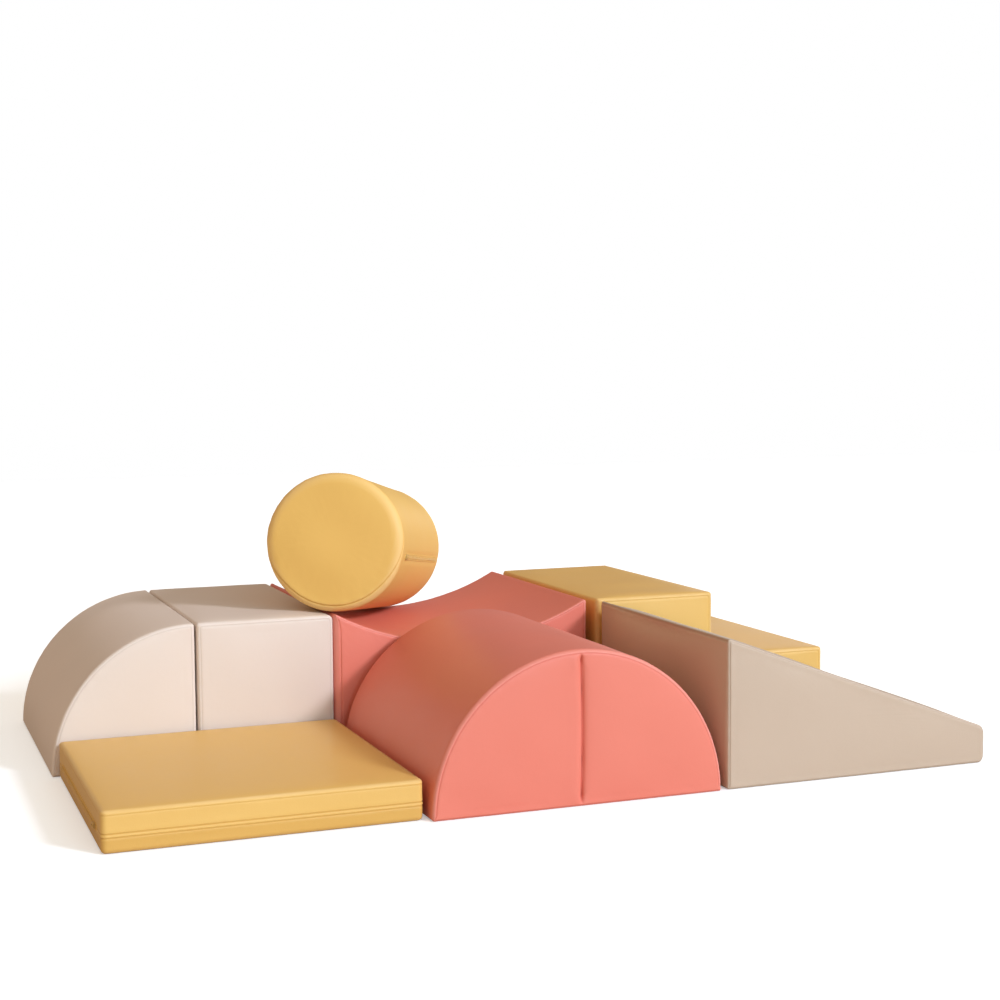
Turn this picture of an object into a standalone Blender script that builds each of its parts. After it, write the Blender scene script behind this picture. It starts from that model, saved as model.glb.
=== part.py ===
# Soft play foam climber: eight loose foam modules, each a foam core in a zipped vinyl cover
import math

import bmesh
import bpy
from mathutils import Matrix, Vector

for old_object in list(bpy.data.objects):
    bpy.data.objects.remove(old_object, do_unlink=True)

# Sizes that several modules share, in metres
TALL = 0.250
MODULE_DEPTH = 0.500
COVER_WALL = 0.0008
EDGE_RADIUS = 0.012
LEAST_RADIUS = 0.001
PANEL_CROWN = 0.003
FIT_GAP = 0.0003

# Sizes of the single modules
NARROW_WIDTH = 0.247
SADDLE_WIDTH = 0.500
TROUGH_BOTTOM = 0.1875
PEAK_ALLOWANCE = 0.0033
PEAK_RADIUS = 0.005
TREAD = 0.250
STEP_RISE = 0.125
MAT_LENGTH = 0.4875
MAT_THICKNESS = 0.0635
MAT_CROWN = 0.001
CORE_SPLIT = 0.004
CORE_SLACK = 0.0012
GROOVE_DEPTH = 0.006
WEDGE_LENGTH = 0.500
WEDGE_TOE = 0.0625
WEDGE_TOP_RADIUS = 0.008
ROLLER_RADIUS = 0.126
ROLLER_LENGTH = 0.550
ROLLER_RIM_RADIUS = 0.015

# Air between neighbours, and how far the front row stands before the back row
SNUG_GAP = 0.004
BUTT_GAP = 0.0008
STAIRS_GAP = 0.019
MAT_SIDE_SHIFT = 0.002
MAT_ROW_GAP = 0.0092
HALF_ROUND_SIDE_SHIFT = 0.007
HALF_ROUND_ROW_GAP = 0.025
WEDGE_GAP = 0.012
WEDGE_ROW_GAP = 0.0225

# How the roller lies: turned on the left rim, its low end near the middle of the trough
ROLLER_TURN = math.radians(25.9)
ROLLER_LOW_OFFSET = 0.016
ROLLER_LOW_INSET = 0.015

# Zips: a coil on a tape that closes a slot in the cover, and a slider without a pull tab
ZIP_HEIGHT = 0.029
ZIP_TAPE_WIDTH = 0.012
ZIP_TAPE_THICKNESS = 0.0014
ZIP_COIL_WIDTH = 0.005
ZIP_COIL_RISE = 0.0016
ZIP_END_MARGIN = 0.050
SLIDER_LENGTH = 0.016
SLIDER_WALL = 0.0016
SLIDER_END_REST = 0.004

# Counts and shares that give the covers their form
FLAT_STEPS = 1
SHORT_STEPS = 2
PANEL_STEPS = 4
TROUGH_STEPS = 10
HALF_FLOOR_STEPS = 2
QUARTER_STEPS = 9
HALF_STEPS = 14
ROLLER_SIDES = 30
ROLLER_ZIP_FACET = 6
TILT_HALVINGS = 40
EDGE_ANGLES = (math.radians(80.0), math.radians(40.0), 0.0)
CROWN_STATION_SHARES = (0.14, 0.5, 0.86)
CAP_RING_SHARES = (0.10, 0.50)
SHARP_ANGLE = math.radians(35.0)
QUARTER_HEART_SHARE = 0.42
STAIRS_HEART_SHARE = 0.80
WEDGE_HEART_SHARE = 0.38

CREAM = (0.80, 0.70, 0.60)
SAND = (0.70, 0.56, 0.43)
CORAL = (0.85, 0.30, 0.22)
YELLOW = (0.87, 0.58, 0.18)
FOAM = (0.82, 0.80, 0.74)
TAPE = (0.45, 0.38, 0.30)
METAL = (0.55, 0.55, 0.55)


def finish(name, colour, roughness, metallic=0.0):
    """One Principled material of its own for a piece."""
    material = bpy.data.materials.new(name)
    material.use_nodes = True
    shader = material.node_tree.nodes["Principled BSDF"]
    shader.inputs["Base Color"].default_value = (*colour, 1.0)
    shader.inputs["Roughness"].default_value = roughness
    shader.inputs["Metallic"].default_value = metallic
    return material


def new_object(name, mesh, parent, material=None):
    """An object for a mesh, under its module's empty."""
    piece = bpy.data.objects.new(name, mesh)
    bpy.context.collection.objects.link(piece)
    piece.parent = parent
    if material:
        mesh.materials.append(material)
    return piece


def new_empty(name, location, parent=None):
    """An empty that carries one module."""
    empty = bpy.data.objects.new(name, None)
    bpy.context.collection.objects.link(empty)
    empty.location = location
    empty.parent = parent
    return empty


class Side:
    """One side of an outline, from start to end: straight, or an arc that rises outwards by rise."""

    def __init__(self, start, end, rise=0.0, steps=PANEL_STEPS, crown=PANEL_CROWN, end_radius=EDGE_RADIUS):
        self.start = Vector(start)
        self.end = Vector(end)
        self.rise = rise
        self.steps = steps
        self.crown = crown
        self.end_radius = end_radius
        chord = self.end - self.start
        self.along = chord.normalized()
        self.outward = Vector((self.along.y, -self.along.x))
        self.half_turn = 2.0 * math.atan(2.0 * rise / chord.length)
        self.radius = chord.length / (2.0 * math.sin(self.half_turn)) if rise else 0.0
        self.length = 2.0 * abs(self.radius * self.half_turn) if rise else chord.length

    def at(self, share):
        """The point and the outward direction at a share of the way along the side."""
        if not self.radius:
            return self.start.lerp(self.end, share), self.outward
        turn = self.half_turn * (2.0 * share - 1.0)
        middle = (self.start + self.end) / 2.0
        normal = self.outward * math.cos(turn) + self.along * math.sin(turn)
        centre = middle - self.outward * self.radius * math.cos(self.half_turn)
        return centre + normal * self.radius, normal


def corner_round(side, following, inset):
    """How far a corner's round end reaches along its sides, and where its middle lies, at an inset."""
    normal = side.at(1.0)[1]
    next_normal = following.at(0.0)[1]
    half_bend = normal.angle(next_normal) / 2.0
    outward = (normal + next_normal).normalized()
    convex = normal.x * next_normal.y - normal.y * next_normal.x > 0.0
    radius = max(side.end_radius, inset + LEAST_RADIUS) if convex else side.end_radius
    cut_back = radius * (1.0 / math.cos(half_bend) - 1.0) * (1.0 if convex else -1.0)
    return radius * math.tan(half_bend), side.end - outward * (cut_back + inset)


def outline_ring(sides, inset, crown_share):
    """The outline's points, moved inwards by inset, with round corners and crowned sides."""
    rounds = [corner_round(side, sides[(index + 1) % len(sides)], inset) for index, side in enumerate(sides)]
    points = []
    for index, side in enumerate(sides):
        start_share = rounds[index - 1][0] / side.length
        end_share = 1.0 - rounds[index][0] / side.length
        for step in range(side.steps + 1):
            step_share = step / side.steps
            point, normal = side.at(start_share + (end_share - start_share) * step_share)
            swell = side.crown * crown_share * (1.0 - (2.0 * step_share - 1.0) ** 2)
            points.append(point + normal * (swell - inset))
        points.append(rounds[index][1])
    return points


def circle_ring(radius, inset):
    """A round outline's points, centred on the module's own axis, from the lowest point on."""
    reach = radius - inset
    turns = [2.0 * math.pi * index / ROLLER_SIDES for index in range(ROLLER_SIDES)]
    return [Vector((reach * math.sin(turn), -reach * math.cos(turn))) for turn in turns]


def add_ring(mesh_data, points, depth):
    """A ring of vertices in the plane at a depth behind the module's front."""
    return [mesh_data.verts.new((point.x, depth, point.y)) for point in points]


def bridge(mesh_data, front_ring, back_ring):
    """Faces between two rings, front ring first, with their normals outwards."""
    count = len(front_ring)
    for index in range(count):
        after = (index + 1) % count
        corners = (front_ring[index], back_ring[index], back_ring[after], front_ring[after])
        mesh_data.faces.new(corners)


def close_end(mesh_data, loop, heart, depth, crown, facing):
    """Closes a loop with rings drawn in to its heart; facing is -1 at the front, 1 at the back."""
    outer = loop
    for share in CAP_RING_SHARES:
        ring = []
        for vertex in loop:
            edge = vertex.co
            swell = crown * (1.0 - (1.0 - share) ** 2)
            base = edge.y + (depth - edge.y) * min(1.0, share / CAP_RING_SHARES[0])
            x = edge.x + (heart[0] - edge.x) * share
            z = edge.z + (heart[1] - edge.z) * share
            ring.append(mesh_data.verts.new((x, base + facing * swell, z)))
        if facing < 0:
            bridge(mesh_data, ring, outer)
        else:
            bridge(mesh_data, outer, ring)
        outer = ring
    middle = mesh_data.verts.new((heart[0], depth + facing * crown, heart[1]))
    count = len(outer)
    for index in range(count):
        after = (index + 1) % count
        if facing < 0:
            mesh_data.faces.new((outer[index], outer[after], middle))
        else:
            mesh_data.faces.new((outer[after], outer[index], middle))


def close_grooved_end(mesh_data, loop, hearts, split, depth, facing):
    """Closes a loop as two lobes with a groove from its top to its foot between them."""
    top, foot = split
    groove_depth = depth - facing * GROOVE_DEPTH
    upper, lower = loop[top].co, loop[foot].co
    groove = []
    for share in CROWN_STATION_SHARES:
        point = upper.lerp(lower, share)
        groove.append(mesh_data.verts.new((point.x, groove_depth, point.z)))
    left_lobe = loop[top:] + loop[:foot + 1] + groove[::-1]
    right_lobe = loop[foot:top + 1] + groove
    close_end(mesh_data, left_lobe, hearts[0], depth, PANEL_CROWN, facing)
    close_end(mesh_data, right_lobe, hearts[1], depth, PANEL_CROWN, facing)


def add_skin(mesh_data, ring_at, depth, edge, station_shares, close, wall, setback=0.0):
    """One closed skin that lies a wall inside the outline: rings from front to back, then the two ends."""
    tight = edge - wall
    front = [(wall + setback + tight * (1.0 - math.sin(angle)), wall + tight * (1.0 - math.cos(angle)), 0.0)
             for angle in EDGE_ANGLES]
    between = [(edge + (depth - 2.0 * edge) * share, wall, 1.0 - (2.0 * share - 1.0) ** 2)
               for share in station_shares]
    back = [(depth - place, inset, swell) for place, inset, swell in reversed(front)]
    rings = [add_ring(mesh_data, ring_at(inset, swell), place)
             for place, inset, swell in front + between + back]
    for front_ring, back_ring in zip(rings, rings[1:]):
        bridge(mesh_data, front_ring, back_ring)
    close(mesh_data, rings[0], wall + setback, -1)
    close(mesh_data, rings[-1], depth - wall - setback, 1)


def shell_mesh(name, ring_at, depth, edge, station_shares, close):
    """A sewn cover: an outer skin and, the vinyl's thickness inside it, an inner one that faces inwards."""
    mesh_data = bmesh.new()
    add_skin(mesh_data, ring_at, depth, edge, station_shares, close, COVER_WALL)
    bmesh.ops.reverse_faces(mesh_data, faces=mesh_data.faces[:])
    add_skin(mesh_data, ring_at, depth, edge, station_shares, close, 0.0)
    return finished_mesh(name, mesh_data)


def finished_mesh(name, mesh_data):
    """A mesh from its working data, smooth where it is round."""
    mesh = bpy.data.meshes.new(name)
    mesh_data.to_mesh(mesh)
    mesh_data.free()
    mesh.shade_smooth()
    mesh.set_sharp_from_angle(angle=SHARP_ANGLE)
    return mesh


def prism_mesh(name, profile, length):
    """A profile in the out and up directions, drawn out along X from zero to length."""
    mesh_data = bmesh.new()
    near = [mesh_data.verts.new((0.0, out, up)) for out, up in profile]
    far = [mesh_data.verts.new((length, out, up)) for out, up in profile]
    mesh_data.faces.new(near)
    mesh_data.faces.new(far[::-1])
    count = len(profile)
    for index in range(count):
        after = (index + 1) % count
        mesh_data.faces.new((near[after], near[index], far[index], far[after]))
    bmesh.ops.recalc_face_normals(mesh_data, faces=mesh_data.faces[:])
    return finished_mesh(name, mesh_data)


def add_zip(module, cover, place, length):
    """Cuts the zip's slot in the cover and fits the zip and its slider there.

    place puts the zip's start on the cover's face: X runs along the zip, Y points out of the face.
    """
    half_tape = ZIP_TAPE_WIDTH / 2.0
    half_slot = half_tape + FIT_GAP
    slot_profile = ((-EDGE_RADIUS, -half_slot), (-EDGE_RADIUS, half_slot),
                    (EDGE_RADIUS, half_slot), (EDGE_RADIUS, -half_slot))
    slot_mesh = prism_mesh(module + "_zip_slot", slot_profile, length + 2.0 * FIT_GAP)
    slot = new_object(module + "_zip_slot", slot_mesh, cover.parent)
    slot.matrix_local = place @ Matrix.Translation((-FIT_GAP, 0.0, 0.0))
    slot.hide_render = True
    slot.display_type = "WIRE"
    cut = cover.modifiers.new("zip slot", "BOOLEAN")
    cut.operation = "DIFFERENCE"
    cut.solver = "EXACT"
    cut.object = slot

    half_coil = ZIP_COIL_WIDTH / 2.0
    back = -COVER_WALL
    face = back + ZIP_TAPE_THICKNESS
    crest = face + ZIP_COIL_RISE
    tape_profile = (
        (back, -half_tape), (face, -half_tape), (face, -half_coil), (crest, -half_coil),
        (crest, half_coil), (face, half_coil), (face, half_tape), (back, half_tape))
    tape_mesh = prism_mesh(module + "_zip", tape_profile, length)
    tape = new_object(module + "_zip", tape_mesh, cover.parent, finish(module + "_zip", TAPE, 0.7))
    tape.matrix_local = place

    inner_half = half_coil + FIT_GAP
    outer_half = inner_half + SLIDER_WALL
    foot = face + FIT_GAP
    roof = crest + FIT_GAP
    top = roof + SLIDER_WALL
    slider_profile = (
        (foot, -outer_half), (top, -outer_half), (top, outer_half), (foot, outer_half),
        (foot, inner_half), (roof, inner_half), (roof, -inner_half), (foot, -inner_half))
    slider_mesh = prism_mesh(module + "_zip_slider", slider_profile, SLIDER_LENGTH)
    slider = new_object(module + "_zip_slider", slider_mesh, cover.parent,
                        finish(module + "_zip_slider", METAL, 0.35, 0.8))
    slider.matrix_local = place @ Matrix.Translation((SLIDER_END_REST, 0.0, 0.0))


def face_place(origin, along, out):
    """The matrix that puts X along a direction and Y out of a face, from an origin."""
    along, out = Vector(along), Vector(out)
    up = along.cross(out)
    axes = Matrix((along, out, up)).transposed().to_4x4()
    return Matrix.Translation(origin) @ axes


def add_cover(module, parent, sides, close, colour):
    """The sewn vinyl cover of a prism-shaped module, a thin shell."""
    def ring_at(inset, swell):
        return outline_ring(sides, inset, swell)

    mesh = shell_mesh(module + "_cover", ring_at, MODULE_DEPTH, EDGE_RADIUS, CROWN_STATION_SHARES, close)
    return new_object(module + "_cover", mesh, parent, finish(module + "_cover", colour, 0.42))


def close_flat(mesh_data, loop, depth, facing):
    """Closes a foam block's cut end with one flat face."""
    mesh_data.faces.new(loop if facing < 0 else loop[::-1])


def add_core(name, parent, sides, slack=0.0, setback=0.0):
    """A cut foam block that fills a cover, less the fit gap, a slack all round and a setback at its ends."""
    plain = [Side(side.start, side.end, side.rise, side.steps if side.rise else FLAT_STEPS, 0.0,
                  side.end_radius) for side in sides]

    def ring_at(inset, swell):
        return outline_ring(plain, inset, swell)

    mesh_data = bmesh.new()
    clear = COVER_WALL + FIT_GAP + slack
    add_skin(mesh_data, ring_at, MODULE_DEPTH, EDGE_RADIUS, (), close_flat, clear, setback)
    return new_object(name, finished_mesh(name, mesh_data), parent, finish(name, FOAM, 0.9))


def plain_end(heart, crown=PANEL_CROWN):
    """A way to close an end with one crowned panel round its heart."""
    def close(mesh_data, loop, depth, facing):
        close_end(mesh_data, loop, heart, depth, crown, facing)
    return close


def add_module(module, place, sides, heart, colour, crown=PANEL_CROWN):
    """A module's empty, cover and core; returns the cover."""
    seat = new_empty(module + "_seat", place, layout)
    cover = add_cover(module, seat, sides, plain_end(heart, crown), colour)
    add_core(module + "_core", seat, sides)
    return cover


def add_back_zip(module, cover, width):
    """A zip low on the module's back face."""
    place = face_place((ZIP_END_MARGIN, MODULE_DEPTH, ZIP_HEIGHT), (1.0, 0.0, 0.0), (0.0, 1.0, 0.0))
    add_zip(module, cover, place, width - 2.0 * ZIP_END_MARGIN)


def add_left_zip(module, cover):
    """A zip low on the module's left face, from front to back."""
    place = face_place((0.0, ZIP_END_MARGIN, ZIP_HEIGHT), (0.0, 1.0, 0.0), (-1.0, 0.0, 0.0))
    add_zip(module, cover, place, MODULE_DEPTH - 2.0 * ZIP_END_MARGIN)


layout = new_empty("layout", (0.0, 0.0, 0.0))

# Saddle block: its top is hollowed to an arc that runs from front to back
saddle_peak = TALL + PEAK_ALLOWANCE
saddle_sides = [
    Side((0.0, 0.0), (SADDLE_WIDTH, 0.0), steps=FLAT_STEPS, crown=0.0),
    Side((SADDLE_WIDTH, 0.0), (SADDLE_WIDTH, saddle_peak), end_radius=PEAK_RADIUS),
    Side((SADDLE_WIDTH, saddle_peak), (0.0, saddle_peak), TROUGH_BOTTOM - saddle_peak, TROUGH_STEPS, 0.0,
         PEAK_RADIUS),
    Side((0.0, saddle_peak), (0.0, 0.0), steps=FLAT_STEPS, crown=0.0)]
saddle_heart = (SADDLE_WIDTH / 2.0, TROUGH_BOTTOM / 2.0)
saddle_cover = add_module("saddle_block", (0.0, 0.0, 0.0), saddle_sides, saddle_heart, CORAL)
add_back_zip("saddle_block", saddle_cover, SADDLE_WIDTH)

# Narrow block: a plain block that stands tight against the saddle block
narrow_place = (-BUTT_GAP - NARROW_WIDTH, 0.0, 0.0)
narrow_sides = [
    Side((0.0, 0.0), (NARROW_WIDTH, 0.0), steps=FLAT_STEPS, crown=0.0),
    Side((NARROW_WIDTH, 0.0), (NARROW_WIDTH, TALL), steps=FLAT_STEPS, crown=0.0),
    Side((NARROW_WIDTH, TALL), (0.0, TALL)),
    Side((0.0, TALL), (0.0, 0.0), steps=FLAT_STEPS, crown=0.0)]
narrow_heart = (NARROW_WIDTH / 2.0, TALL / 2.0)
narrow_cover = add_module("narrow_block", narrow_place, narrow_sides, narrow_heart, CREAM)
add_back_zip("narrow_block", narrow_cover, NARROW_WIDTH)

# Quarter-round: a quarter of a cylinder that curves down to the left
quarter_rise = TALL * (1.0 - math.cos(math.pi / 4.0))
quarter_place = (narrow_place[0] - SNUG_GAP - TALL, 0.0, 0.0)
quarter_sides = [
    Side((0.0, 0.0), (TALL, 0.0), steps=FLAT_STEPS, crown=0.0),
    Side((TALL, 0.0), (TALL, TALL), steps=FLAT_STEPS, crown=0.0),
    Side((TALL, TALL), (0.0, 0.0), quarter_rise, QUARTER_STEPS)]
quarter_heart = (TALL - TALL * QUARTER_HEART_SHARE, TALL * QUARTER_HEART_SHARE)
quarter_cover = add_module("quarter_round", quarter_place, quarter_sides, quarter_heart, CREAM)
add_back_zip("quarter_round", quarter_cover, TALL)

# Stairs: two treads that go down to the right
stairs_place = (SADDLE_WIDTH + STAIRS_GAP, 0.0, 0.0)
stairs_length = 2.0 * TREAD
stairs_sides = [
    Side((0.0, 0.0), (stairs_length, 0.0), steps=FLAT_STEPS, crown=0.0),
    Side((stairs_length, 0.0), (stairs_length, STEP_RISE), steps=SHORT_STEPS),
    Side((stairs_length, STEP_RISE), (TREAD, STEP_RISE)),
    Side((TREAD, STEP_RISE), (TREAD, TALL), steps=SHORT_STEPS),
    Side((TREAD, TALL), (0.0, TALL)),
    Side((0.0, TALL), (0.0, 0.0))]
stairs_heart = (TREAD * STAIRS_HEART_SHARE, STEP_RISE * STAIRS_HEART_SHARE)
stairs_cover = add_module("stairs", stairs_place, stairs_sides, stairs_heart, YELLOW)
add_back_zip("stairs", stairs_cover, stairs_length)

# Mat: a thin pad in front of the quarter-round and the narrow block
mat_place = (-MAT_SIDE_SHIFT - MAT_LENGTH, -MAT_ROW_GAP - MODULE_DEPTH, 0.0)
mat_sides = [
    Side((0.0, 0.0), (MAT_LENGTH, 0.0), steps=FLAT_STEPS, crown=0.0),
    Side((MAT_LENGTH, 0.0), (MAT_LENGTH, MAT_THICKNESS), steps=SHORT_STEPS, crown=MAT_CROWN),
    Side((MAT_LENGTH, MAT_THICKNESS), (0.0, MAT_THICKNESS)),
    Side((0.0, MAT_THICKNESS), (0.0, 0.0), steps=FLAT_STEPS, crown=0.0)]
mat_heart = (MAT_LENGTH / 2.0, MAT_THICKNESS / 2.0)
mat_cover = add_module("mat", mat_place, mat_sides, mat_heart, YELLOW, MAT_CROWN)
add_left_zip("mat", mat_cover)

# Wedge: a ramp that goes down to the right to a blunt toe
wedge_place = (HALF_ROUND_SIDE_SHIFT + 2.0 * TALL + WEDGE_GAP, -WEDGE_ROW_GAP - MODULE_DEPTH, 0.0)
wedge_sides = [
    Side((0.0, 0.0), (WEDGE_LENGTH, 0.0), steps=FLAT_STEPS, crown=0.0),
    Side((WEDGE_LENGTH, 0.0), (WEDGE_LENGTH, WEDGE_TOE), steps=SHORT_STEPS, crown=MAT_CROWN),
    Side((WEDGE_LENGTH, WEDGE_TOE), (0.0, TALL), end_radius=WEDGE_TOP_RADIUS),
    Side((0.0, TALL), (0.0, 0.0))]
wedge_heart = (WEDGE_LENGTH * WEDGE_HEART_SHARE, TALL * WEDGE_HEART_SHARE)
wedge_cover = add_module("wedge", wedge_place, wedge_sides, wedge_heart, SAND)
add_left_zip("wedge", wedge_cover)

# Half-round: two quarter-round cores side by side in one cover, with a groove between them
half_place = (HALF_ROUND_SIDE_SHIFT, -HALF_ROUND_ROW_GAP - MODULE_DEPTH, 0.0)
half_seat = new_empty("half_round_seat", half_place, layout)
half_sides = [
    Side((0.0, 0.0), (2.0 * TALL, 0.0), steps=HALF_FLOOR_STEPS, crown=0.0),
    Side((2.0 * TALL, 0.0), (0.0, 0.0), TALL, HALF_STEPS)]
half_foot = HALF_FLOOR_STEPS // 2
half_top = HALF_FLOOR_STEPS + 2 + HALF_STEPS // 2
lobe_reach = TALL * QUARTER_HEART_SHARE
half_hearts = ((TALL - lobe_reach, lobe_reach), (TALL + lobe_reach, lobe_reach))


def close_half_round(mesh_data, loop, depth, facing):
    """Closes an end of the half-round as two lobes."""
    close_grooved_end(mesh_data, loop, half_hearts, (half_top, half_foot), depth, facing)


half_cover = add_cover("half_round", half_seat, half_sides, close_half_round, CORAL)
core_edge = TALL - CORE_SPLIT / 2.0
left_core_sides = [
    Side((0.0, 0.0), (core_edge, 0.0), steps=FLAT_STEPS, crown=0.0),
    Side((core_edge, 0.0), (core_edge, TALL), steps=FLAT_STEPS, crown=0.0),
    Side((core_edge, TALL), (0.0, 0.0), quarter_rise, HALF_STEPS // 2, 0.0)]
right_core_sides = [
    Side((2.0 * TALL - core_edge, 0.0), (2.0 * TALL, 0.0), steps=FLAT_STEPS, crown=0.0),
    Side((2.0 * TALL, 0.0), (2.0 * TALL - core_edge, TALL), quarter_rise, HALF_STEPS // 2, 0.0),
    Side((2.0 * TALL - core_edge, TALL), (2.0 * TALL - core_edge, 0.0), steps=FLAT_STEPS, crown=0.0)]
add_core("half_round_left_core", half_seat, left_core_sides, CORE_SLACK, GROOVE_DEPTH)
add_core("half_round_right_core", half_seat, right_core_sides, CORE_SLACK, GROOVE_DEPTH)
add_back_zip("half_round", half_cover, 2.0 * TALL)


def height_over(points, x):
    """The height of an outline's upper run above a place along X."""
    heights = []
    for first, second in zip(points, points[1:]):
        low, high = sorted((first.x, second.x))
        if low <= x <= high and high > low:
            heights.append(first.y + (second.y - first.y) * (x - first.x) / (second.x - first.x))
    return max(heights)


def roller_axes(tilt):
    """The roller's own X, Y and Z directions, with Y along its axis and its back end tilted down."""
    sin_turn, cos_turn = math.sin(ROLLER_TURN), math.cos(ROLLER_TURN)
    sin_tilt, cos_tilt = math.sin(tilt), math.cos(tilt)
    return (Vector((cos_turn, -sin_turn, 0.0)),
            Vector((sin_turn * cos_tilt, cos_turn * cos_tilt, -sin_tilt)),
            Vector((sin_turn * sin_tilt, cos_turn * sin_tilt, cos_tilt)))


def roller_clearance(tilt, low_point, rims):
    """The least air between the roller and the rims, which are lines along Y, at a tilt."""
    across, axis, upward = roller_axes(tilt)
    centre = low_point + upward * ROLLER_RADIUS
    normal = axis.cross(Vector((0.0, 1.0, 0.0))).normalized()
    return min(abs(normal.dot(centre - rim)) - ROLLER_RADIUS for rim in rims)


# Roller: a loose cylinder across the left rim of the saddle block, its low end in the trough
saddle_ring = outline_ring(saddle_sides, 0.0, 1.0)
narrow_ring = outline_ring(narrow_sides, 0.0, 1.0)
low_x = SADDLE_WIDTH / 2.0 - ROLLER_LOW_OFFSET
low_point = Vector((low_x, MODULE_DEPTH - ROLLER_LOW_INSET, height_over(saddle_ring, low_x) + FIT_GAP))
left_half = [Vector((point.x, 0.0, point.y)) for point in saddle_ring if point.x < low_x - ROLLER_RADIUS]
beside = [Vector((narrow_place[0] + point.x, 0.0, point.y)) for point in narrow_ring]
shallow, steep = 0.0, math.pi / 4.0
for halving in range(TILT_HALVINGS):
    middle = (shallow + steep) / 2.0
    if roller_clearance(middle, low_point, left_half + beside) < FIT_GAP:
        shallow = middle
    else:
        steep = middle
across, axis, upward = roller_axes(steep)
roller_front = low_point + upward * ROLLER_RADIUS - axis * (ROLLER_LENGTH - ROLLER_RIM_RADIUS)
roller_seat = new_empty("roller_seat", (0.0, 0.0, 0.0), layout)
roller_seat.matrix_local = (Matrix.Translation(roller_front)
                            @ Matrix((across, axis, upward)).transposed().to_4x4())


def roller_ring(inset, swell):
    """The roller's round outline."""
    return circle_ring(ROLLER_RADIUS, inset)


roller_mesh = shell_mesh("roller_cover", roller_ring, ROLLER_LENGTH, ROLLER_RIM_RADIUS, (),
                         plain_end((0.0, 0.0)))
roller_cover = new_object("roller_cover", roller_mesh, roller_seat, finish("roller_cover", YELLOW, 0.42))
core_data = bmesh.new()
add_skin(core_data, roller_ring, ROLLER_LENGTH, ROLLER_RIM_RADIUS, (), close_flat, COVER_WALL + FIT_GAP)
new_object("roller_core", finished_mesh("roller_core", core_data), roller_seat, finish("roller_core", FOAM, 0.9))

# The roller's zip lies along the middle of one of its facets
facet_turn = 2.0 * math.pi / ROLLER_SIDES
zip_turn = facet_turn * (ROLLER_ZIP_FACET + 0.5)
zip_out = Vector((math.sin(zip_turn), 0.0, -math.cos(zip_turn)))
zip_foot = zip_out * ROLLER_RADIUS * math.cos(facet_turn / 2.0) + Vector((0.0, ZIP_END_MARGIN, 0.0))
add_zip("roller", roller_cover, face_place(zip_foot, (0.0, 1.0, 0.0), zip_out),
        ROLLER_LENGTH - 2.0 * ZIP_END_MARGIN)

# The origin goes to the middle of the whole set, on the floor
bpy.context.view_layer.update()
corners = [piece.matrix_world @ vertex.co for piece in bpy.data.objects
           if piece.type == "MESH" and not piece.hide_render for vertex in piece.data.vertices]
lowest = Vector([min(corner[axis] for corner in corners) for axis in range(3)])
highest = Vector([max(corner[axis] for corner in corners) for axis in range(3)])
layout.location = (-(lowest.x + highest.x) / 2.0, -(lowest.y + highest.y) / 2.0, -lowest.z)
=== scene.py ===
import math
from collections import namedtuple

import bmesh
import bpy
import numpy as np
from mathutils import Matrix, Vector
from mathutils.kdtree import KDTree


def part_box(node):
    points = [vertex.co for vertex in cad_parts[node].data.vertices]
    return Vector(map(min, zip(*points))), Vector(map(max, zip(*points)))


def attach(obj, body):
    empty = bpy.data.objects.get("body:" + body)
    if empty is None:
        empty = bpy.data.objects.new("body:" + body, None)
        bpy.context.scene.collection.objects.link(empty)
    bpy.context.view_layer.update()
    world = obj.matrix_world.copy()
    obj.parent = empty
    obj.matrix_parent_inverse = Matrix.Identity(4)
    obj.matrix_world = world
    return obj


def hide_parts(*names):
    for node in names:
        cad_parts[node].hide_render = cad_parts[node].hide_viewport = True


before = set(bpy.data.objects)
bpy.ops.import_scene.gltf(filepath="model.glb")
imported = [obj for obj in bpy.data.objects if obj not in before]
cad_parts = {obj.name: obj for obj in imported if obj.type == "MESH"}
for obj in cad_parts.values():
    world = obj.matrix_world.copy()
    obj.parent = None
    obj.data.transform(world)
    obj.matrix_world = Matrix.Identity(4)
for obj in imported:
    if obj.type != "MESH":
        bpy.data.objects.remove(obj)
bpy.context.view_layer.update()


# Foam cores: every module is filled with a block of soft foam, cut to shape with a hot wire.
# The half-round has two quarter blocks side by side. All of them are sealed in their covers.
FOAM_COLOUR = (0.80, 0.78, 0.70)
FOAM_SHADE = (0.70, 0.67, 0.58)
FOAM_ROUGHNESS = 0.95
PORES_PER_METRE = 700.0
PORE_DEPTH = 0.0008


def node(owner, kind, inputs, **settings):
    """A shader node with its settings; its inputs are plain values or other nodes' outputs."""
    made = owner.node_tree.nodes.new(kind)
    for name, value in settings.items():
        setattr(made, name, value)
    for socket, value in inputs.items():
        if isinstance(value, bpy.types.NodeSocket):
            owner.node_tree.links.new(value, made.inputs[socket])
        else:
            made.inputs[socket].default_value = value
    return made


def join(owner, output, shader, socket):
    """Leads a node's output into one of a shader's sockets."""
    owner.node_tree.links.new(output, shader.inputs[socket])


def blank_material(name):
    """A material with one Principled shader, the shader itself, and the place on the piece."""
    material = bpy.data.materials.new(name)
    material.use_nodes = True
    place = node(material, "ShaderNodeTexCoord", {}).outputs["Object"]
    return material, material.node_tree.nodes["Principled BSDF"], place


def mixed(material, share, first, second):
    """A colour between two, by a share. Each is three numbers or a node's output."""
    first, second = (end if isinstance(end, bpy.types.NodeSocket) else (*end, 1.0)
                     for end in (first, second))
    return node(material, "ShaderNodeMix", {0: share, 6: first, 7: second}, data_type="RGBA").outputs[2]


def clouds(material, place, scale, detail):
    """A cloudy pattern, with its scale in repeats per metre."""
    inputs = {"Vector": place, "Scale": scale, "Detail": detail}
    return node(material, "ShaderNodeTexNoise", inputs).outputs["Fac"]


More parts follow.
